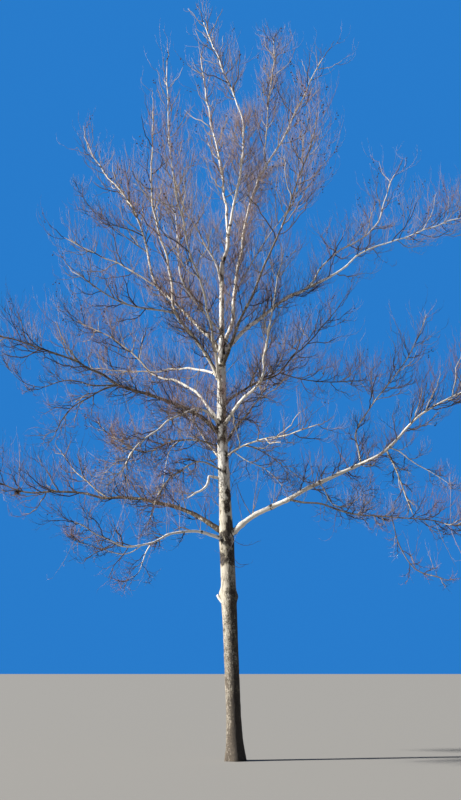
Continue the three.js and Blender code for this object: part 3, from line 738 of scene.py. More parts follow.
def spread_foot(piece):
    """The whole foot widens by the least share of the flare, and each lobe by the rest."""
    for vertex in piece.data.vertices:
        height = max(vertex.co.z, 0.0)
        out = Vector(vertex.co - Vector(trunk_axis(height))) * Vector((1, 1, 0))
        if height > 3 * flare["fade"] or out.length < 1e-4:
            continue
        angle = math.atan2(out.y, out.x)
        lobe = 0.5 + 0.5 * math.cos(flare["lobes"] * angle + math.radians(flare["turn"]))
        reach = flare["reach"] * math.exp(-height / flare["fade"])
        vertex.co += out.normalized() * reach * between((flare["least"], 1.0), lobe)


spread_foot(trunk)
for knob in knobs:
    push_out(trunk, knob["heading"], knob["height"], knob["reach"] * 0.35, knob["half"] * 1.9)
    push_out(trunk, knob["heading"], knob["height"] + 0.04, knob["reach"] * 0.85, knob["half"] * 0.95)
foot = points_of(trunk)
print("foot is", round(foot[foot[:, 2] < 0.05, 0].max(), 3), "m from the axis at its widest")

# %% Round the trunk, give it the relief of its bark, and cut it flat
scale_relief = 0.010
plate_relief = 0.005
lump_relief = 0.022


def displace(piece, name, kind, size, strength, stretch=None, group=None):
    """Move the surface along its normal by a procedural texture."""
    texture = bpy.data.textures.new(name, kind)
    texture.noise_scale = size
    modifier = piece.modifiers.new(name, "DISPLACE")
    modifier.texture = texture
    modifier.strength = strength
    modifier.mid_level = 0.5
    modifier.texture_coords = "OBJECT" if stretch else "LOCAL"
    if stretch:
        bpy.ops.object.empty_add(location=(0, 0, 0))
        frame_of_noise = bpy.context.object
        frame_of_noise.scale = (1, 1, stretch)
        modifier.texture_coords_object = frame_of_noise
        bpy.context.view_layer.update()
    if group:
        modifier.vertex_group = group
    apply_last(piece)
    if stretch:
        bpy.data.objects.remove(frame_of_noise)


round_off(trunk, 2)
scaly_part = trunk.vertex_groups.new(name="scaly")
smooth_part = trunk.vertex_groups.new(name="smooth")
for vertex in trunk.data.vertices:
    share = float(ease((scales_end + 1.3 - vertex.co.z) / 1.2))
    scaly_part.add([vertex.index], share, "REPLACE")
    smooth_part.add([vertex.index], 1 - 0.6 * share, "REPLACE")
displace(trunk, "lumps", "CLOUDS", 0.42, lump_relief, stretch=2.2)
displace(trunk, "scales", "VORONOI", 0.075, scale_relief, stretch=2.4, group="scaly")
displace(trunk, "plates", "CLOUDS", 0.13, plate_relief, stretch=1.5, group="smooth")
trunk.vertex_groups.clear()

bpy.ops.object.mode_set(mode="EDIT")
bpy.ops.mesh.select_all(action="SELECT")
bpy.ops.mesh.bisect(plane_co=(0, 0, 0), plane_no=(0, 0, 1), clear_inner=True, use_fill=True)
bpy.ops.object.mode_set(mode="OBJECT")
finish_piece(trunk, "trunk_and_root_flare", [trunk_bark], smooth=True)
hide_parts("trunk")
trunk_points = points_of(trunk)
print("trunk has", triangles_of(trunk), "triangles and stands at", round(trunk_points[:, 2].min(), 4))

# %% [markdown]
# ## Boughs
#
# No bough of a sycamore is straight. At each knot, where a shoot once left, the wood swells, darkens and
# turns a little, so that a limb reads as a row of short straight stretches. Each limb here is a row of
# circles placed along its path and bridged, which follows a crooked path better than an extrusion does. A
# bough and the stem that goes on from its tip are one piece, as they are one limb on the tree.

# %% Sizes of knots and kinks
ring_step = 0.06  # metres between two rings of a thick limb
thin_ring_step = 0.09
thick_foot = 0.04  # radius at which a limb counts as thick
knot_gap = (0.32, 0.75)
knot_swell = (0.10, 0.34)  # share of the radius
knot_half = 0.055
kink_reach = 0.042
kink_share = 0.30  # of the limb's radius, on top of the reach
collar_swell = 0.50
collar_fade = 0.17
leader_of = {mass["on"]: mass["name"] for mass in masses if not mass["foot"] and not mass["aside"]}
chains = []
for bough in boughs:
    if bough["name"] == "right_far_bough":
        continue
    chain = [bough["name"]]
    if bough["name"] == "right_upper_bough":
        chain.append("right_far_bough")
    if chain[-1] in leader_of:
        chain.append(leader_of[chain[-1]])
    chains.append(chain)
chains += [[mass["name"]] for mass in masses if mass["foot"] or mass["aside"]]
print(len(chains), "limbs, the longest chain:", max(chains, key=len))


# %% Follow a limb closely
def smooth_line(stations, radii, step):
    """Catmull-Rom line through the stations, with a point about every step."""
    knots = np.vstack((2 * stations[0] - stations[1], stations, 2 * stations[-1] - stations[-2]))
    points, girths = [], []
    for i in range(len(stations) - 1):
        a, b, c, d = knots[i:i + 4]
        count = max(2, int(round(np.linalg.norm(c - b) / step)))
        t = np.arange(count)[:, None] / count
        curve = 2 * b + (c - a) * t + (2 * a - 5 * b + 4 * c - d) * t ** 2 + (3 * b - a - 3 * c + d) * t ** 3
        points.append(curve / 2)
        girths.append(radii[i] + (radii[i + 1] - radii[i]) * t[:, 0])
    return np.vstack((*points, stations[-1])), np.concatenate((*girths, radii[-1:]))


def distance_along(points):
    return np.concatenate(((0.0,), np.cumsum(np.linalg.norm(np.diff(points, axis=0), axis=1))))


def surface_leave(points, bearer_name):
    """Distance along the line at which it comes out of the limb or trunk that bears it."""
    if bearer_name == "trunk":
        from_axis = points - trunk_axis(np.minimum(points[:, 2], trunk_top))
        outside = np.hypot(from_axis[:, 0], from_axis[:, 1]) > trunk_radius(points[:, 2])
    else:
        bearer = lines[limb_of[bearer_name]]
        gaps = np.linalg.norm(points[:, None] - bearer["points"], axis=2)
        outside = gaps.min(axis=1) > bearer["radii"][gaps.argmin(axis=1)]
    return distance_along(points)[outside.argmax()]


def knot_places(seed, start, end):
    places, at = [], start
    while at < end - 0.1:
        places.append(at)
        at += float(between(knot_gap, chance(seed, 500 + len(places))))
    return np.array(places)


def follow_limb(chain, seed):
    """Points, radii and darkness of one limb, with knots, kinks and the collar at its foot."""
    bearer_name = sizes[chain[0]]["on"]
    stations = np.vstack([paths[name]["places"][1 if k else 0:] for k, name in enumerate(chain)])
    radii = np.concatenate([paths[name]["radii"][1 if k else 0:] for k, name in enumerate(chain)])
    thick = radii[0] > thick_foot
    points, girths = smooth_line(stations, radii, ring_step if thick else thin_ring_step)
    if bearer_name != "trunk":
        bearer = lines[limb_of[bearer_name]]["points"]
        shift = bearer[np.linalg.norm(bearer - points[0], axis=1).argmin()] - points[0]
        points = points + shift * (1 - ease(distance_along(points) / 0.7))[:, None]
    away = distance_along(points)
    leave = surface_leave(points, bearer_name)
    places = knot_places(seed, leave + 0.32, away[-1])
    numbers = np.arange(len(places))

    ways = unit(np.gradient(points, axis=0))
    side = unit(np.cross(ways, up) + 1e-6)
    over = np.cross(side, ways)
    turn = 2 * math.pi * chance(seed, 900 + numbers)
    reach = kink_reach + kink_share * np.interp(places, away, girths)
    reach = reach * between((0.4, 1.0), chance(seed, 700 + numbers))
    marks = np.concatenate(((leave,), places, (away[-1],)))
    points = points + side * np.interp(away, marks, np.pad(np.cos(turn) * reach, 1))[:, None]
    points = points + over * np.interp(away, marks, np.pad(np.sin(turn) * reach, 1))[:, None]
    points[1:-1] = (points[:-2] + points[1:-1] + points[2:]) / 3

    at_knots = np.exp(-((away[:, None] - places) / knot_half) ** 2)
    collar = np.exp(-np.abs(away - leave) / collar_fade)
    swell = 1 + (at_knots * between(knot_swell, chance(seed, 300 + numbers))).sum(axis=1)
    swell += collar * collar_swell * (0.6 if bearer_name == "trunk" else 0.3)
    dark = (at_knots * between((0.0, 1.1), chance(seed, 400 + numbers))).max(axis=1, initial=0.0)
    dark = np.clip(np.maximum(dark, collar * 0.75), 0, 1)
    return dict(points=points, radii=girths * swell, bare=girths, dark=dark, away=away, knots=places,
                leave=leave, thick=thick)


lines = {}
limb_of = {}
for number, chain in enumerate(chains):
    limb = chain[0].replace("_bough", "").replace("_twigs", "")
    lines[limb] = follow_limb(chain, 40 + number)
    limb_of.update({name: limb for name in chain})
print(len(lines), "limbs,", round(sum(line["away"][-1] for line in lines.values()), 1), "metres in all")


# %% Model a limb from rings
limbs_of_bark = dict(
    pale="left_hanging right_knob right_stem left_lead top_left right_arm right_low",
    fading="left_inner left_level",
    white="left_droop left_crook top right_upper",
    dark="left_low left_mid left_mid_low left_arch right_behind right_behind_low right_droop right_tail "
         "front_right",
)
bark_of = {limb: kind for kind, limbs in limbs_of_bark.items() for limb in limbs.split()}
thick_sides, thin_sides = 10, 7
young_girth = (0.018, 0.050)  # radii at which the bark is all young and all old


def rings_to_limb(line, name, finish, thick=False, grained=False):
    """Circles along the line, bridged to one closed skin with a rounded tip, as a finished piece."""
    sides = thick_sides if thick else thin_sides
    points, radii = line["points"], line["radii"]
    ways = unit(np.gradient(points, axis=0))
    across = Vector(np.cross(ways[0], up)).normalized() if abs(ways[0][2]) < 0.99 else Vector((1, 0, 0))
    for k, (point, radius, way) in enumerate(zip(points, radii, ways)):
        way = Vector(way)
        across = (across - way * across.dot(way)).normalized()
        turn = Matrix((across, way.cross(across), way)).transposed().to_euler()
        size = radius * (0.55 if k == len(points) - 1 else 1.0)
        bpy.ops.mesh.primitive_circle_add(vertices=sides, radius=size, location=point, rotation=turn)
        if k == 0:
            bpy.ops.object.mode_set(mode="EDIT")
    bpy.ops.mesh.select_all(action="SELECT")
    bpy.ops.mesh.bridge_edge_loops()
    bpy.ops.mesh.fill_holes(sides=0)
    bpy.ops.mesh.select_all(action="SELECT")
    bpy.ops.mesh.normals_make_consistent(inside=False)
    bpy.ops.object.mode_set(mode="OBJECT")
    bpy.ops.object.transform_apply(location=True, rotation=True, scale=True)
    piece = bpy.context.object
    above = points_of(piece)[:, 2] - np.repeat(points[:, 2], sides)
    paint(piece, "knot", np.repeat(line["dark"], sides))
    paint(piece, "topside", above / np.repeat(radii, sides))
    paint(piece, "young", np.repeat(line["young"], sides))
    round_off(piece, 1)
    if thick:
        displace(piece, "lumps_of_" + name, "CLOUDS", 0.16, 0.016)
    if grained:
        displace(piece, "grain_of_" + name, "CLOUDS", 0.05, 0.005)
    finish_piece(piece, name, [finish], smooth=True)
    return piece


for limb, line in lines.items():
    line["young"] = ease((young_girth[1] - line["bare"]) / (young_girth[1] - young_girth[0]))
    finish = limb_barks[bark_of.get(limb, "mixed")]
    rings_to_limb(line, limb + "_limb", finish, thick=line["thick"], grained=True)
for bough in boughs:
    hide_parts(bough["name"])

# %% Mark the trunk where limbs leave it
collar_size = 0.17

near = np.zeros(len(trunk_points))
for chain in chains:
    if sizes[chain[0]]["on"] == "trunk":
        line = lines[limb_of[chain[0]]]
        leave = place_on(line["leave"], line["away"], line["points"])
        gaps = np.linalg.norm((trunk_points - leave) * (1, 1, 0.8), axis=1)
        near = np.maximum(near, np.exp(-(gaps / (collar_size * (0.6 + line["bare"][0] * 7))) ** 2))
paint(trunk, "collar", near)
print(int((near > 0.3).sum()), "vertices of the trunk lie at a collar")

# %% [markdown]
# ## Twigs
#
# A winter crown is thousands of shoots, each a few millimetres thick. They branch four times here: arms from
# the stem, twigs from the arms, then twiglets and tips. The first two steps are those of the construction
# model, and they set how far each mass reaches. The rest fill it the way the real tree does, with thin whips
# that turn upwards. Hair or instances would be lighter, but an exported model needs real faces, so all shoots
# of a step are worked out at once as arrays and written into a few joined meshes.

# %% Numbers of the finer shoots
usual_between = 2  # arms between two of the rule's own
arms_between = dict(f=3, o=1)  # the same in masses with the mark for fuller or for opener
upright_lift = 1.7  # of those arms, where the crown strives upwards
extra_twigs = 3  # beside the two of the rule
twiglets = 3
tips = 2
reach_limit = 1.03  # of the spread of a mass, beyond which nothing grows
side_room = np.array((0.010, 0.010, 0.002))  # share of the model's size that a shoot may pass its box by
arm_zigzag, twig_zigzag, fine_zigzag = 0.32, 0.30, 0.13
arm_steps, twig_steps, twiglet_steps = 8, 5, 3
least_radius = dict(arm=0.0125, slender_arm=0.009, twig=0.0064, twiglet=0.0040, upright=0.0036, tip=0.0029)
# Length as a share of the spread, tilt and lift.
hanging_twiglets = ((0.14, 0.36), (20, 55), (-0.6, 1.2))
rising_twiglets = ((0.16, 0.46), (16, 46), (2.0, 6.5))
arm_stoutness = 1.30  # against the rule, because the bark's own thickness is drawn here
stoutest_arm = 0.021
leader_length = 0.42  # of the spread, for the shoot that ends a stem
tip_share = 0.45  # of the radius, at the end of a shoot before its point
print("each arm carries", (2 + extra_twigs) * (1 + twiglets * (1 + tips)), "shoots")


# %% Grow one step of shoots
def across_and_over(ways):
    """Two directions square to each way, as the rule of growth takes them."""
    side = np.cross(ways, up)
    side[np.linalg.norm(side, axis=1) < 0.15] = (1.0, 0.0, 0.0)
    side = unit(side)
    return side, np.cross(side, ways)


def grow(roots, ways, around, tilt, length, lift, radius, seeds, numbers, segments, zigzag):
    """Shoots that leave their roots at a tilt, bend by the lift, and go on in short crooked stretches."""
    around, tilt, length, lift, radius, seeds = (
        value + np.zeros(len(roots)) for value in (around, tilt, length, lift, radius, seeds))
    side, over = across_and_over(ways)
    around, tilt = np.radians(around)[:, None], np.radians(tilt)[:, None]
    outwards = side * np.cos(around) + over * np.sin(around)
    first = unit(ways * np.cos(tilt) + outwards * np.sin(tilt))
    second = unit(first + up * lift[:, None])
    points = [roots]
    for k in range(segments):
        share = float(ease((k + 0.5) / segments * 1.6 - 0.3))
        stray = np.stack([chance(seeds + 0.11 * (k + 1), numbers + 0.7 * axis) for axis in range(3)], axis=1)
        way = unit(unit(first * (1 - share) + second * share) + (stray - 0.5) * 2 * zigzag)
        points.append(points[-1] + way * (length / segments)[:, None])
    radii = radius[:, None] * np.linspace(1.0, tip_share, segments + 1)
    return dict(points=np.stack(points, axis=1), radii=radii, length=length, seeds=seeds, numbers=numbers)


def along_shoots(shoots, share):
    """Place, direction and radius at that share of each shoot's length."""
    place = np.clip(share, 0, 0.9999) * (shoots["points"].shape[1] - 1)
    i = place.astype(int)
    part = (place - i)[:, None]
    rows = np.arange(len(share))
    a, b = shoots["points"][rows, i], shoots["points"][rows, i + 1]
    radius = shoots["radii"][rows, i] * (1 - part[:, 0]) + shoots["radii"][rows, i + 1] * part[:, 0]
    return a * (1 - part) + b * part, unit(b - a), radius


def keep(shoots, mask):
    return {name: values[mask] for name, values in shoots.items()}


def numbered(shoots):
    """The same shoots, each the first of a spray."""
    return dict(shoots, spray=np.arange(len(shoots["length"])))


def inside_box(shoots):
    """True for shoots whose tips stay inside the construction model's box, with a little room."""
    low, high = np.array(cad_low), np.array(cad_high)
    room = (high - low) * side_room
    ends = shoots["points"][:, -1]
    return (ends > low - room).all(axis=1) & (ends < high + room).all(axis=1)


def within_reach(shoots, line, spread):
    """True for shoots whose tips also stay near the stem."""
    gaps = np.linalg.norm(shoots["points"][:, -1, None] - line[::2], axis=2).min(axis=1)
    return inside_box(shoots) & (gaps < spread * reach_limit)


def not_crowded(shoots, line, missing):
    """False for a share of the shoots that grows to missing at the tip of the stem."""
    height = (shoots["points"][:, 0, 2] - line[0, 2]) / (line[-1, 2] - line[0, 2])
    return chance(shoots["seeds"] + 4.4, shoots["numbers"]) >= missing * ease(1.7 * height - 0.6)


print("shoots can grow")


# %% Arms and twigs of a mass, as the rule has them and with more between
def traits(name):
    """Marks and missing share of the mass of that name; any other limb has none."""
    entry = sizes.get(name, {})
    return entry.get("marks", ""), entry.get("missing", 0)


def stem_line(mass):
    """The part of the limb's own line that bears this mass."""
    line, places = lines[limb_of[mass["name"]]], paths[mass["name"]]["places"]
    begin, end = (np.linalg.norm(line["points"] - places[k], axis=1).argmin() for k in (0, -1))
    return line["points"][begin:end + 1], line["bare"][begin:end + 1]


def grow_arms(mass):
    arms, spread = mass["arms"], mass["spread"]
    marks, missing = traits(mass["name"])
    points, radii = stem_line(mass)
    share_of = distance_along(points) / distance_along(points)[-1]
    each = 1 + next((arms_between[mark] for mark in marks if mark in arms_between), usual_between)
    i = np.arange(arms * each) / each
    extra = np.arange(arms * each) % each
    luck = [chance(mass["seed"], 10 * i + k) for k in range(4)]
    reach = (mass.get("first", arm_rule["first"]), arm_rule["last"])
    along = np.minimum(between(reach, (i + arm_rule["stray"] * luck[0]) / arms), 0.995)
    roots = place_on(along, share_of, points)
    ahead = place_on(np.minimum(along + 0.03, 1), share_of, points)
    ways = unit(ahead - place_on(along - 0.03, share_of, points))
    length = spread * between(arm_rule["length"], luck[1]) * (1 - arm_rule["fall"] * along)
    length = length * np.where(extra > 0, 0.92, 1.0)
    around = arm_rule["turn"] * i + arm_rule["turn_stray"] * luck[2] + 160 * extra
    tilt = between(arm_rule["lean"], luck[3])
    lift = np.full(len(i), arm_rule["droop"] if mass["hanging"] else arm_rule["lift"])
    if "u" in marks:
        tilt = np.where(extra > 0, tilt * 0.75, tilt)
        lift = np.where(extra > 0, upright_lift, lift)
    radius = np.interp(along, share_of, radii) * arm_rule["girth"]
    radius = radius * np.where(extra > 0, 0.8, 1.0) * arm_stoutness
    least = mass.get("least_arm", least_radius["slender_arm" if missing else "arm"])
    radius = np.clip(radius, least, mass.get("stoutest", stoutest_arm))
    if mass.get("spread_at_tip", True):
        roots = np.vstack((roots, points[-1:]))
        ways = np.vstack((ways, unit(points[-1:] - points[-4:-3])))
        ends = (0.0, 6.0, spread * leader_length, arm_rule["lift"], radii[-1] * 0.9, arms)
        around, tilt, length, lift, radius, i = (
            np.append(row, end) for row, end in zip((around, tilt, length, lift, radius, i), ends))
    return grow(roots, ways, around, tilt, length, lift, radius, mass["seed"], 100 * i, arm_steps, arm_zigzag)


def bearers_and_numbers(bearers, each):
    """The bearers, each as often as it bears shoots, and which of its shoots a row stands for."""
    bearing = {name: np.repeat(values, each, axis=0) for name, values in bearers.items()}
    return bearing, np.tile(np.arange(each), len(bearers["length"]))


def grow_twigs(mass, arms_grown):
    """On each arm the two twigs of the rule, and free ones between them."""
    bearers, k = bearers_and_numbers(arms_grown, 2 + extra_twigs)
    own = k < 2
    numbers = bearers["numbers"] + 10 * k
    seeds = bearers["seeds"] + twig_rule["seed"]
    luck = [chance(seeds, numbers + j) for j in range(4)]
    rule_place = np.where(k == 0, *twig_rule["places"])
    free_place = np.clip(0.16 + 0.84 * (k - 2 + luck[3]) / extra_twigs, 0.1, 0.99)
    place = np.where(own, rule_place, free_place)
    roots, ways, radius = along_shoots(bearers, place)
    length = mass["spread"] * between(twig_rule["length"], luck[0]) * (1 - twig_rule["fall"] * place)
    length = length * np.where(own, 1.0, between((0.6, 1.05), luck[1]))
    around = twig_rule["turn"] * k + np.where(own, 0, 75 * k) + twig_rule["turn_stray"] * (luck[1] - 0.5)
    share = 0.55 if mass["hanging"] else 1.8 if "u" in traits(mass["name"])[0] else 1.0
    lift = np.where(own, twig_rule["lift"], between((0.2, 2.2), luck[2]) * share)
    thick = np.maximum(radius * twig_rule["girth"] * arm_stoutness, least_radius["twig"])
    tilt = between(twig_rule["lean"], luck[2])
    grown = grow(roots, ways, around, tilt, length, lift, thick, seeds, numbers, twig_steps, twig_zigzag)
    return dict(grown, spray=bearers["spray"])


def grow_finer(bearers, each, first_place, length_share, spread, tilt, lift, least, segments, shift):
    """Twiglets or tips: the same number on every bearer, the last of them close to its end."""
    grown_from, k = bearers_and_numbers(bearers, each)
    numbers = grown_from["numbers"] * 1.37 + 3.1 * k + shift
    seeds = grown_from["seeds"] + shift
    luck = [chance(seeds, numbers + 0.9 * j) for j in range(5)]
    place = np.clip(first_place + (1 - first_place) * (k + 0.7 * luck[0]) / (each - 0.4), 0, 0.995)
    roots, ways, radius = along_shoots(grown_from, place)
    length = spread * between(length_share, luck[1])
    thick = np.maximum(radius * 0.62, least)
    grown = grow(roots, ways, 180 * k + 110 * (luck[2] - 0.5), between(tilt, luck[3]), length,
                 between(lift, luck[4]), thick, seeds, numbers, segments, fine_zigzag)
    return dict(grown, spray=grown_from["spray"])


def grow_mass(mass):
    """All four steps of one mass: arms, twigs, twiglets and tips."""
    line, _ = stem_line(mass)
    spread, hanging = mass["spread"], mass["hanging"]
    missing = traits(mass["name"])[1]
    arms_grown = grow_arms(mass)
    arms_grown = numbered(keep(arms_grown, within_reach(arms_grown, line, spread)))
    twigs_grown = grow_twigs(mass, arms_grown)
    fits = within_reach(twigs_grown, line, spread) & not_crowded(twigs_grown, line, missing)
    twigs_grown = keep(twigs_grown, fits)
    reach, tilt, lift = hanging_twiglets if hanging else rising_twiglets
    twiglets_grown = grow_finer(twigs_grown, twiglets, 0.2, reach, spread, tilt, lift,
                                least_radius["twiglet"], twiglet_steps, 5.3)
    if not hanging:
        uprights = grow_finer(twigs_grown, 1, 0.3, (0.26, 0.55), spread, (10, 35), (6.0, 12.0),
                              least_radius["upright"], twiglet_steps, 13.7)
        twiglets_grown = {key: np.concatenate((twiglets_grown[key], uprights[key])) for key in uprights}
    fits = within_reach(twiglets_grown, line, spread) & not_crowded(twiglets_grown, line, missing)
    twiglets_grown = keep(twiglets_grown, fits)
    tips_grown = grow_finer(twiglets_grown, tips, 0.2, (0.04, 0.15), spread, (16, 40), lift,
                            least_radius["tip"], 1, 9.1)
    return arms_grown, twigs_grown, twiglets_grown, keep(tips_grown, within_reach(tips_grown, line, spread))


grown_masses = {mass["name"]: grow_mass(mass) for mass in masses}
for step, title in enumerate(("arms", "twigs", "twiglets", "tips")):
    print(sum(len(grown[step]["length"]) for grown in grown_masses.values()), title)

# %% Branches along the boughs themselves
# How many to a metre, how far they spread, and from which share of the bough on.
usual_branches = (0.75, 1.6, 0.2)
branches_of = dict(right_low=(0.6, 1.5, 0.45), left_low=(0.6, 1.3, 0.45), left_droop=(0.4, 0.9, 0.45),
                   right_droop=(1.0, 1.1, 0.45), right_riser=(0.75, 0.9, 0.2), left_lead=(0.75, 1.2, 0.2),
                   right_stem=(2.4, 1.3, 0.2), top=(2.2, 1.6, 0.2), right_shoot=(1.4, 1.2, 0.2))
slight_branches = ("right_stem_bough", "top_bough", "right_shoot_bough")
grown_boughs = {}


def grow_branches(key, bearer, seed, arms, spread, first, hanging):
    """Branches on a limb, in the way of a mass but without a spray at the tip."""
    stoutest = 0.011 if bearer in slight_branches else 0.018
    grown_boughs[key] = grow_mass(dict(
        name=bearer, seed=seed, arms=arms, spread=spread, first=first, hanging=hanging, stoutest=stoutest,
        least_arm=min(stoutest, least_radius["arm"]), spread_at_tip=False))


for number, bough in enumerate(boughs):
    name = bough["name"]
    density, spread, first = branches_of.get(name.replace("_bough", ""), usual_branches)
    grow_branches(name, name, 60 + number, max(2, round(bough["length"] * density)), spread, first,
                  name in ("left_droop_bough", "left_hanging_bough"))

# More of them where the tree has them: on what, from which share of it on, how many, how far, and which way.
more_branches = (
    ("right_low_bough", 0.50, 4, 1.15, True), ("left_low_bough", 0.15, 5, 1.15, False),
    ("left_mid_bough", 0.45, 4, 1.2, True), ("right_droop_bough", 0.55, 3, 0.8, True),
    ("left_upper_bough", 0.3, 5, 1.3, False), ("left_leader_bough", 0.5, 5, 1.5, False),
    ("top_bough", 0.35, 5, 1.3, False), ("right_stem_bough", 0.5, 5, 1.3, False),
    ("right_knob_bough", 0.12, 3, 1.7, True), ("right_upper_bough", 0.25, 2, 1.5, False),
    ("left_hanging_bough", 0.4, 3, 1.2, False), ("left_arch_twigs", 0.3, 4, 1.0, True),
    ("left_bow_twigs", 0.25, 3, 1.0, True), ("right_low_twigs", 0.05, 4, 1.1, False),
    ("left_crook_twigs", 0.2, 3, 1.2, False),
)
for number, (bearer, first, arms, spread, hanging) in enumerate(more_branches):
    grow_branches(bearer + "_again", bearer, 90 + number, arms, spread, first, hanging)

# The trunk itself bears thin branches all round, between the great limbs.
borne_by_trunk = (("leader", 11.2, 16.3, 11, 97, False), ("round_the_trunk", 6.9, 10.6, 5, 98, False),
                  ("falling_by_the_trunk", 8.4, 10.6, 4, 99, True))
for name, low_end, high_end, arms, seed, hanging in borne_by_trunk:
    heights = np.arange(low_end, high_end, 0.1)
    lines[name] = dict(points=trunk_axis(heights), bare=trunk_radius(heights))
    limb_of[name] = name
    paths[name] = dict(places=lines[name]["points"])
    grown_boughs[name] = grow_mass(dict(name=name, seed=seed, arms=arms, spread=1.8, hanging=hanging,
                                        least_arm=0.008, stoutest=0.010, spread_at_tip=False, first=0.05))
    del lines[name]

# Small branches that the photograph shows one by one: bearer, metres along it, heading, rises, length, foot,
# arms, bark, and 1 where the shoots hang.
spurs = dict(
    left_mid_spur=("left_mid", 3.65, 185, (0, -5, 0, 20, 5, -10, -30, 0, 20, 35, 55), 3.5, 0.062, 3,
                   "dark", 0),
    right_low_tangle=("right_low", 3.3, -10, (-50, -70, -60, -10, 25, 45, 50), 1.9, 0.045, 5, "mixed", 1),
    right_low_spur=("right_low", 5.65, -10, (-15, -45, -30, -35, -40), 2.2, 0.045, 3, "mixed", 0),
    left_leader_spur=("left_leader", 6.1, 195, (30, 15, 10, 25, 35, 50, 60), 2.6, 0.050, 3, "dark", 0),
    left_leader_low_spur=("left_leader", 5.4, 165, (35, 40, 40, 30, 35), 2.6, 0.050, 3, "dark", 0),
    left_droop_spur=("left_droop", 2.75, 200, (-55, -60, -75, -75, -40, -20), 1.3, 0.045, 2, "pale", 1),
    left_droop_arc=("left_droop", 3.1, 185, (-45, -25, 15, 15, 15, 20), 1.9, 0.036, 2, "mixed", 0),
    right_spray_fall=("right_spray", 0.45, -10, (-40, -35, -20, -40, -50, -65), 2.1, 0.040, 4, "mixed", 0),
    right_spray_low_fall=("right_spray", 0.95, -20, (-20, -30, -40, -35, -45), 2.3, 0.040, 4, "dark", 1),
    left_arch_spur=("left_arch", 1.6, 175, (-15, -60, -80, -85, -75), 1.7, 0.040, 3, "pale", 1),
)
spur_tip = 0.016
spur_spread = 0.95
spur_spacing = 0.3
for number, (name, spur) in enumerate(spurs.items()):
    bearer, along, heading, rises, length, foot, arms, _, hanging = spur
    start = place_on(along, lines[bearer]["away"], lines[bearer]["points"])
    limb = dict(heading=heading, rises=rises, length=length)
    paths[name] = course(start, limb, foot / 2, spur_tip / 2, spur_spacing)
    points, girths = smooth_line(paths[name]["places"], paths[name]["radii"], 0.08)
    lines[name] = dict(points=points, bare=girths, knots=())
    limb_of[name] = name
    grown_boughs[name] = grow_mass(dict(name=name, seed=110 + number, arms=arms, spread=spur_spread,
                                        stoutest=0.012, least_arm=0.009, hanging=hanging, first=0.12))
print(sum(len(grown[0]["length"]) for grown in grown_boughs.values()), "branches on the boughs")


# %% Write shoots into a mesh
def tubes(shoots, sides):
    """Vertices and triangles of closed tubes that end in a point."""
    points, radii = shoots["points"], shoots["radii"]
    count, rings = points.shape[0], points.shape[1] - 1
    ways = unit(points[:, -1] - points[:, 0])
    across, _ = across_and_over(ways)
    over = np.cross(ways, across)
    angles = 2 * math.pi * np.arange(sides) / sides
    circle = across[:, None] * np.cos(angles)[:, None] + over[:, None] * np.sin(angles)[:, None]
    ring_points = points[:, :rings, None] + circle[:, None] * radii[:, :rings, None, None]
    vertices = np.concatenate((ring_points.reshape(count, rings * sides, 3), points[:, -1:]), axis=1)
    faces = [(0, k + 1, k) for k in range(1, sides - 1)]
    for ring in range(rings - 1):
        for j in range(sides):
            a, b = ring * sides + j, ring * sides + (j + 1) % sides
            faces += [(a, b, b + sides), (a, b + sides, a + sides)]
    last, point = (rings - 1) * sides, rings * sides
    faces += [(last + j, last + (j + 1) % sides, point) for j in range(sides)]
    return vertices.reshape(-1, 3), copies(faces, count, point + 1), len(faces)


def copies(faces, count, vertices_each):
    """The faces of one thing, repeated for all things that follow it in the list of vertices."""
    return (np.array(faces) + (np.arange(count) * vertices_each)[:, None, None]).reshape(-1, 3)


def piece_from_arrays(name, vertices, triangles, finishes, slots):
    """A finished piece with one finish for each triangle."""
    mesh = bpy.data.meshes.new(name)
    mesh.vertices.add(len(vertices))
    mesh.vertices.foreach_set("co", vertices.astype(np.float32).ravel())
    mesh.loops.add(triangles.size)
    mesh.loops.foreach_set("vertex_index", triangles.astype(np.int32).ravel())
    mesh.polygons.add(len(triangles))
    mesh.polygons.foreach_set("loop_start", np.arange(0, triangles.size, 3, dtype=np.int32))
    mesh.polygons.foreach_set("material_index", slots.astype(np.int32))
    mesh.update(calc_edges=True)
    mesh.validate()
    piece = bpy.data.objects.new(name, mesh)
    bpy.context.scene.collection.objects.link(piece)
    finish_piece(piece, name, finishes)
    print(name, "has", triangles_of(piece), "triangles")
    return piece


def deal_colours(seed, shoots, letters, shift):
    """One of the letters' colours for each spray, so that neighbours on one arm share their colour."""
    luck = chance(seed + shift, shoots["spray"] * 7.0 + shift)
    choices = np.array([colour_letters.index(letter) for letter in letters])
    return choices[(luck * len(choices)).astype(int)]


def join_shoots(name, groups):
    """One piece from groups of (shoots, sides, seed, letters of the colours, shift)."""
    vertices, triangles, slots, done = [], [], [], 0
    for shoots, sides, seed, letters, shift in groups:
        if len(shoots["length"]):
            points, faces, per_shoot = tubes(shoots, sides)
            vertices.append(points)
            triangles.append(faces + done)
            slots.append(np.repeat(deal_colours(seed, shoots, letters, shift), per_shoot))
            done += len(points)
    return piece_from_arrays(name, np.vstack(vertices), np.vstack(triangles), twig_finishes,
                             np.concatenate(slots))


def four_steps(grown, seed, letters):
    """The groups of arms, twigs, twiglets and tips."""
    return list(zip(grown, (5, 4, 3, 3), (seed,) * 4, letters, (0.3, 0.3, 0.6, 0.6)))


print("shoots can be joined")

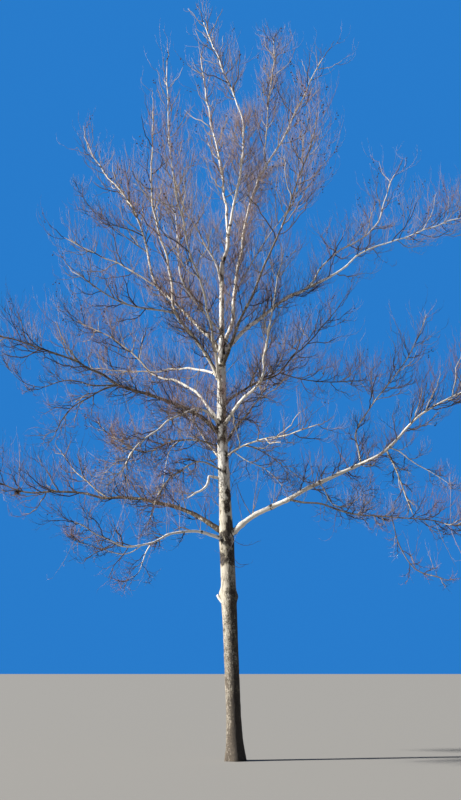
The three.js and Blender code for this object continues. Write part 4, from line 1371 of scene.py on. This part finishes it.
# %% Join the twigs by region
# Region, the letters of the colours of wood, twigs and shoots, and the masses in it.
regions = (
    ("low_right", "bndc", "bndr", "grdr", "right_low right_hanging right_riser right_droop right_tail"),
    ("low_left", "ndbn", "ndrn", "rdrd", "left_low left_low_rising left_droop left_bow"),
    ("mid_left", "nbdc", "nbdr", "rtdr",
     "left_mid left_mid_low left_inner left_hanging left_level left_arch"),
    ("upper_left", "ndbnc", "ndrb", "gtrg",
     "left_upper left_upper_side left_leader left_leader_side left_crook"),
    ("mid_right", "cndb", "bndr", "grdr", "right_knob right_behind right_behind_low right_spray"),
    ("upper_right", "nbcd", "nbrg", "grtg", "right_far right_arm right_stem right_stem_inner right_shoot"),
    ("top", "bcnb", "bgrn", "grtg", "top top_left left_lead"),
    ("back", "bnd", "bnd", "rdgr", "back_left back_right"),
    ("front", "cnbb", "bnrg", "gtrg", "front_left front_right"),
)
for region, wood, twig, shoot, members in regions:
    names = [member + "_twigs" for member in members.split()]
    groups = []
    for name in names:
        groups += four_steps(grown_masses[name], sizes[name]["seed"], (wood, twig, shoot, shoot))
    piece = join_shoots("twigs_" + region, groups)
    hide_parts(*names)

# %% [markdown]
# ## Whips from the knots
#
# Along every bough thin shoots rise nearly straight from the knots, most of them no thicker than a pencil.
# They give the inner crown its upright look.

# %% Grow whips from the knots
whip_length = (0.5, 1.75)
whip_radius = (0.0045, 0.0085)
placed_whip_radius = 0.0125
whip_chances = (0.18, 0.45, 0.75)  # below the first none, then one, two or three from a knot
whip_zigzag = 0.07
whip_steps = 5
# Share of the whips that hang, where any do.
hanging_whips = dict(right_low=0.35, left_low=0.3, left_droop=0.2, right_droop=0.35, left_mid=0.25,
                     left_hanging=0.5, left_bow=0.5)
# Whips that the photograph shows one by one: limb, metres along it, lean to the right in degrees, length.
placed_whips = (
    ("right_low", 1.00, -28, 1.30), ("right_low", 1.03, 2, 1.85), ("right_low", 0.97, 16, 1.10),
    ("right_low", 1.72, 0, 0.85), ("right_low", 1.75, 24, 0.9), ("right_low", 3.06, -48, 0.95),
    ("right_low", 3.10, -8, 1.15), ("right_low", 3.14, 14, 0.8), ("right_low", 4.30, -30, 1.0),
    ("left_low", 3.90, 2, 1.75), ("left_low", 5.10, -12, 1.2), ("left_low", 6.90, -8, 1.7),
    ("left_mid", 5.30, -20, 1.1), ("left_mid", 6.60, -12, 1.0),
)

# Each row: root, direction, length, radius, seed and number.
whip_rows = []
for number, (limb, away, lean_right, length) in enumerate(placed_whips):
    root = place_on(away, lines[limb]["away"], lines[limb]["points"])
    angle = math.radians(lean_right)
    way = (math.sin(angle), 0.1, math.cos(angle))
    whip_rows.append((root, way, length, placed_whip_radius, 190, 1400 + number))
for limb_number, (limb, line) in enumerate(lines.items()):
    seed = 200 + limb_number
    for k, place in enumerate(line["knots"]):
        for j in range(sum(chance(seed, 1300 + k) > limit for limit in whip_chances)):
            number = 1500 + 10 * k + j
            luck = [float(chance(seed, number + part)) for part in (0.0, 0.3, 0.5, 0.7, 0.9)]
            turn, aside = 2 * math.pi * luck[0], between((0.05, 0.6), luck[1])
            upwards = -1.0 if luck[2] < hanging_whips.get(limb, 0.0) else 1.0
            root = place_on(place + 0.05 * j, line["away"], line["points"])
            way = (math.cos(turn) * aside, math.sin(turn) * aside, upwards)
            length, radius = between(whip_length, luck[3] ** 1.5), between(whip_radius, luck[4])
            whip_rows.append((root, way, length, radius, seed, number))
roots, ways, lengths, thick, seeds, numbers = (np.array(column, dtype=float) for column in zip(*whip_rows))
whips = grow(roots, unit(ways), 0, 5, lengths, np.where(ways[:, 2] > 0, 0.35, 0.25), thick, seeds, numbers,
             whip_steps, whip_zigzag)
whips = numbered(keep(whips, inside_box(whips)))
whip_twigs = grow_finer(whips, 4, 0.15, (0.2, 0.55), 1.0, (18, 42), (0.3, 2.0), least_radius["twiglet"],
                        twiglet_steps, 4.7)
whip_tips = grow_finer(whip_twigs, 2, 0.3, (0.08, 0.2), 1.0, (22, 46), (0.2, 1.5), least_radius["tip"],
                       1, 8.3)
whip_twigs, whip_tips = (keep(shoots, inside_box(shoots)) for shoots in (whip_twigs, whip_tips))
join_shoots("whips_from_the_boughs", [
    (whips, 4, 31.0, "brtg", 0.4), (whip_twigs, 3, 31.0, "grt", 0.5), (whip_tips, 3, 31.0, "grt", 0.5),
])
print(len(lengths), "whips")

# %% Join the branches of the boughs
darker_steps = ("bndd", "nnd", "grd", "grt")
light_steps = ("cbbn", "bgtn", "gtrg", "gtrg")
light_names = ("leader", "top", "right_stem", "right_shoot")
inner_names = ("leader", "round_the_trunk", "falling_by_the_trunk", "top")
left_names = ("left", "front_left", "back_left")
groups_of = dict(left=[], right=[], inside=[])
for number, (bearer, grown) in enumerate(grown_boughs.items()):
    side = "left" if bearer.startswith(left_names) else "right"
    part = "inside" if bearer.startswith(inner_names) else side
    letters = light_steps if bearer.startswith(light_names) else darker_steps
    groups_of[part] += four_steps(grown, 60 + number, letters)
for part, groups in groups_of.items():
    join_shoots("branches_on_the_boughs_" + part, groups)

# %% [markdown]
# ## Seed balls
#
# The fruit is a hard brown ball of tufted seeds on a long stalk, and it hangs on all winter. One small ball
# is modelled, and copies of its mesh are dealt to the shoots, most of them high up and far out in the sun.

# %% Model one seed ball
ball_radius = 0.020

bpy.ops.mesh.primitive_ico_sphere_add(subdivisions=1, radius=ball_radius, location=(0, 0, 0))
ball = bpy.context.object
bpy.ops.object.mode_set(mode="EDIT")
bpy.ops.mesh.select_all(action="SELECT")
bpy.ops.mesh.poke(offset=ball_radius * 0.2)
bpy.ops.object.mode_set(mode="OBJECT")
ball_points = points_of(ball)
ball_faces = [face.vertices[:] for face in ball.data.polygons]
bpy.data.objects.remove(ball)
print("one seed ball has", len(ball_faces), "faces")

# %% Hang the seed balls
stalk_length = (0.07, 0.13)
stalk_radius = 0.0016
ball_growth = (0.8, 1.12)
balls_wanted = 1300
balls_in_cluster = 4
twigs_bear, twiglets_bear = 0.18, 0.055  # the chance of a cluster at best

# Places along the last part of shoots that bear a cluster: the higher and further out, the likelier.
places = []
for mass in masses:
    for bearers, likely in zip(grown_masses[mass["name"]][1:3], (twigs_bear, twiglets_bear)):
        if mass["hanging"]:
            continue
        ends = bearers["points"][:, -1]
        sunny = ease((ends[:, 2] + 0.9 * np.hypot(ends[:, 0], ends[:, 1]) - 12.0) / 13.0)
        bears = chance(bearers["seeds"] + 2.2, bearers["numbers"]) < likely * (0.16 + 0.9 * sunny ** 2)
        chosen = keep(bearers, bears)
        for k in range(balls_in_cluster):
            luck = chance(chosen["seeds"] + 3.3 + k, chosen["numbers"])
            place, _, _ = along_shoots(chosen, 1 - 0.5 * k / balls_in_cluster * (0.5 + luck))
            places.append(place[luck < 0.85])
places = np.vstack(places)
found = len(places)
places = places[np.argsort(chance(5.0, np.arange(found) * 1.7))[:balls_wanted]]
rows = np.arange(float(len(places)))
hang = between(stalk_length, chance(61.0, rows))
drift = unit(np.stack((chance(62.0, rows) - 0.5, chance(63.0, rows) - 0.5, 0 * rows - 1.2), axis=1))
stalk_ends = places + drift * hang[:, None]
stalks = dict(points=np.stack((places, stalk_ends), axis=1), radii=np.full((len(rows), 2), stalk_radius))
stalk_points, stalk_faces, _ = tubes(stalks, 3)
centres = stalk_ends + drift * ball_radius * 0.6
grown_size = between(ball_growth, chance(64.0, rows))[:, None, None]
balls = (centres[:, None] + ball_points * grown_size).reshape(-1, 3)
faces = copies(ball_faces, len(rows), len(ball_points)) + len(stalk_points)
triangles = np.vstack((stalk_faces, faces))
piece_from_arrays("seed_balls", np.vstack((stalk_points, balls)), triangles, [seed_ball_finish],
                  np.zeros(len(triangles)))
print(len(rows), "seed balls of", found, "places")

# %% [markdown]
# ## Small things that make it this tree
#
# A white stub with a hook stands out on the left under the boughs, two dead shoots arch from the trunk on the
# right, and a dark clump of old twigs sits on the low bough at the far left. They are small, but without them
# it would be any sycamore. Each one starts inside the limb that carries it.

# %% Hooked stub, knob and small branches
hooked_stub = np.array((
    (-0.28, -0.02, 8.16), (-0.50, -0.06, 8.27), (-0.68, -0.09, 8.30), (-0.79, -0.10, 8.33),
    (-0.81, -0.11, 8.18), (-0.87, -0.12, 8.02), (-1.01, -0.14, 7.88), (-1.19, -0.16, 7.80),
    (-1.31, -0.17, 7.71), (-1.46, -0.19, 7.62),
))
stub_radii = np.array((0.062, 0.054, 0.047, 0.045, 0.043, 0.043, 0.040, 0.034, 0.027, 0.014))
knob_stub = np.array(((-0.33, -0.04, 4.48), (-0.42, -0.04, 4.58), (-0.49, -0.04, 4.66), (-0.53, -0.04, 4.74)))
knob_stub_radii = np.array((0.075, 0.062, 0.050, 0.040))
small_limb_step = 0.05


def crooked_limb(name, stations, radii, bark):
    """A small limb through given places, modelled the way of the boughs. Returns the places of its rings."""
    points, girths = smooth_line(stations, radii, small_limb_step)
    plain = np.zeros(len(points))
    rings_to_limb(dict(points=points, radii=girths, dark=plain, young=plain), name, limb_barks[bark])
    return points


stub_points = crooked_limb("hooked_stub", hooked_stub, stub_radii, "white")
crooked_limb("knob_stub", knob_stub, knob_stub_radii, "pale")
for name, spur in spurs.items():
    crooked_limb(name, paths[name]["places"], paths[name]["radii"], spur[-2])
print("a stub, a knob and", len(spurs), "small branches")

# %% Shoots on the stub, dead arched shoots and the clump
clump_size = 0.10
clump_shoots = 160
clump_along = 6.95  # metres along the low bough on the left
stub_shoot_radius, dead_shoot_radius, dead_twig_radius, clump_radius = 0.009, 0.0085, 0.0035, 0.0055

rows = np.arange(9.0)
away = distance_along(stub_points)
roots = place_on(between((0.55, 1.0), rows / 8) * away[-1], away, stub_points)
ways = (-0.6 - 0.5 * chance(71.0, rows), chance(72.0, rows) - 0.5, 0.9 - 1.3 * chance(73.0, rows))
lengths = between((0.5, 1.0), chance(74.0, rows))
stub_shoots = numbered(grow(roots, unit(np.stack(ways, axis=1)), 0, 5, lengths, 0.5, stub_shoot_radius, 75.0,
                            rows, 5, twig_zigzag))
stub_twigs = grow_finer(stub_shoots, 5, 0.2, (0.18, 0.42), 1.0, (20, 45), (0.3, 1.8), least_radius["twiglet"],
                        twiglet_steps, 4.7)
stub_tips = grow_finer(stub_twigs, 2, 0.3, (0.06, 0.16), 1.0, (20, 45), (0.2, 1.2), least_radius["tip"],
                       1, 8.3)

dead_roots = np.array(((-0.12, -0.10, 6.42), (-0.10, -0.11, 5.96), (-0.13, -0.12, 5.72)))
dead_ways = unit(np.array(((0.75, -0.35, -0.55), (0.45, -0.35, -0.75), (0.6, -0.3, -0.7))))
dead_lengths = np.array((1.15, 0.95, 0.6))
dead_shoots = numbered(grow(dead_roots, dead_ways, 0, 4, dead_lengths, 0.85, dead_shoot_radius, 81.0,
                            np.arange(3.0), 7, 0.06))
dead_twigs = grow_finer(dead_shoots, 3, 0.3, (0.12, 0.3), 1.0, (20, 45), (0.2, 0.9), dead_twig_radius, 3, 4.7)

centre = place_on(clump_along, lines["left_low"]["away"], lines["left_low"]["points"]) - up * clump_size * 0.7
rows = np.arange(float(clump_shoots))
turn, height = 2 * math.pi * chance(91.0, rows), 1 - 2 * chance(92.0, rows)
level = np.sqrt(1 - height ** 2)
from_centre = np.stack((np.cos(turn) * level, np.sin(turn) * level, height), axis=1)
side, _ = across_and_over(from_centre)
clump = numbered(grow(centre + from_centre * clump_size * 0.25, unit(from_centre + side * 0.9), 0, 3,
                      clump_size * 1.1, 0, clump_radius, 93.0, rows, 3, 0.3))
join_shoots("stub_shoots_and_clump", [
    (stub_shoots, 4, 76.0, "b", 0.4), (stub_twigs, 3, 76.0, "grt", 0.4), (stub_tips, 3, 76.0, "grt", 0.4),
    (dead_shoots, 4, 76.0, "d", 0.4), (dead_twigs, 3, 76.0, "d", 0.4), (clump, 3, 76.0, "d", 0.4),
])
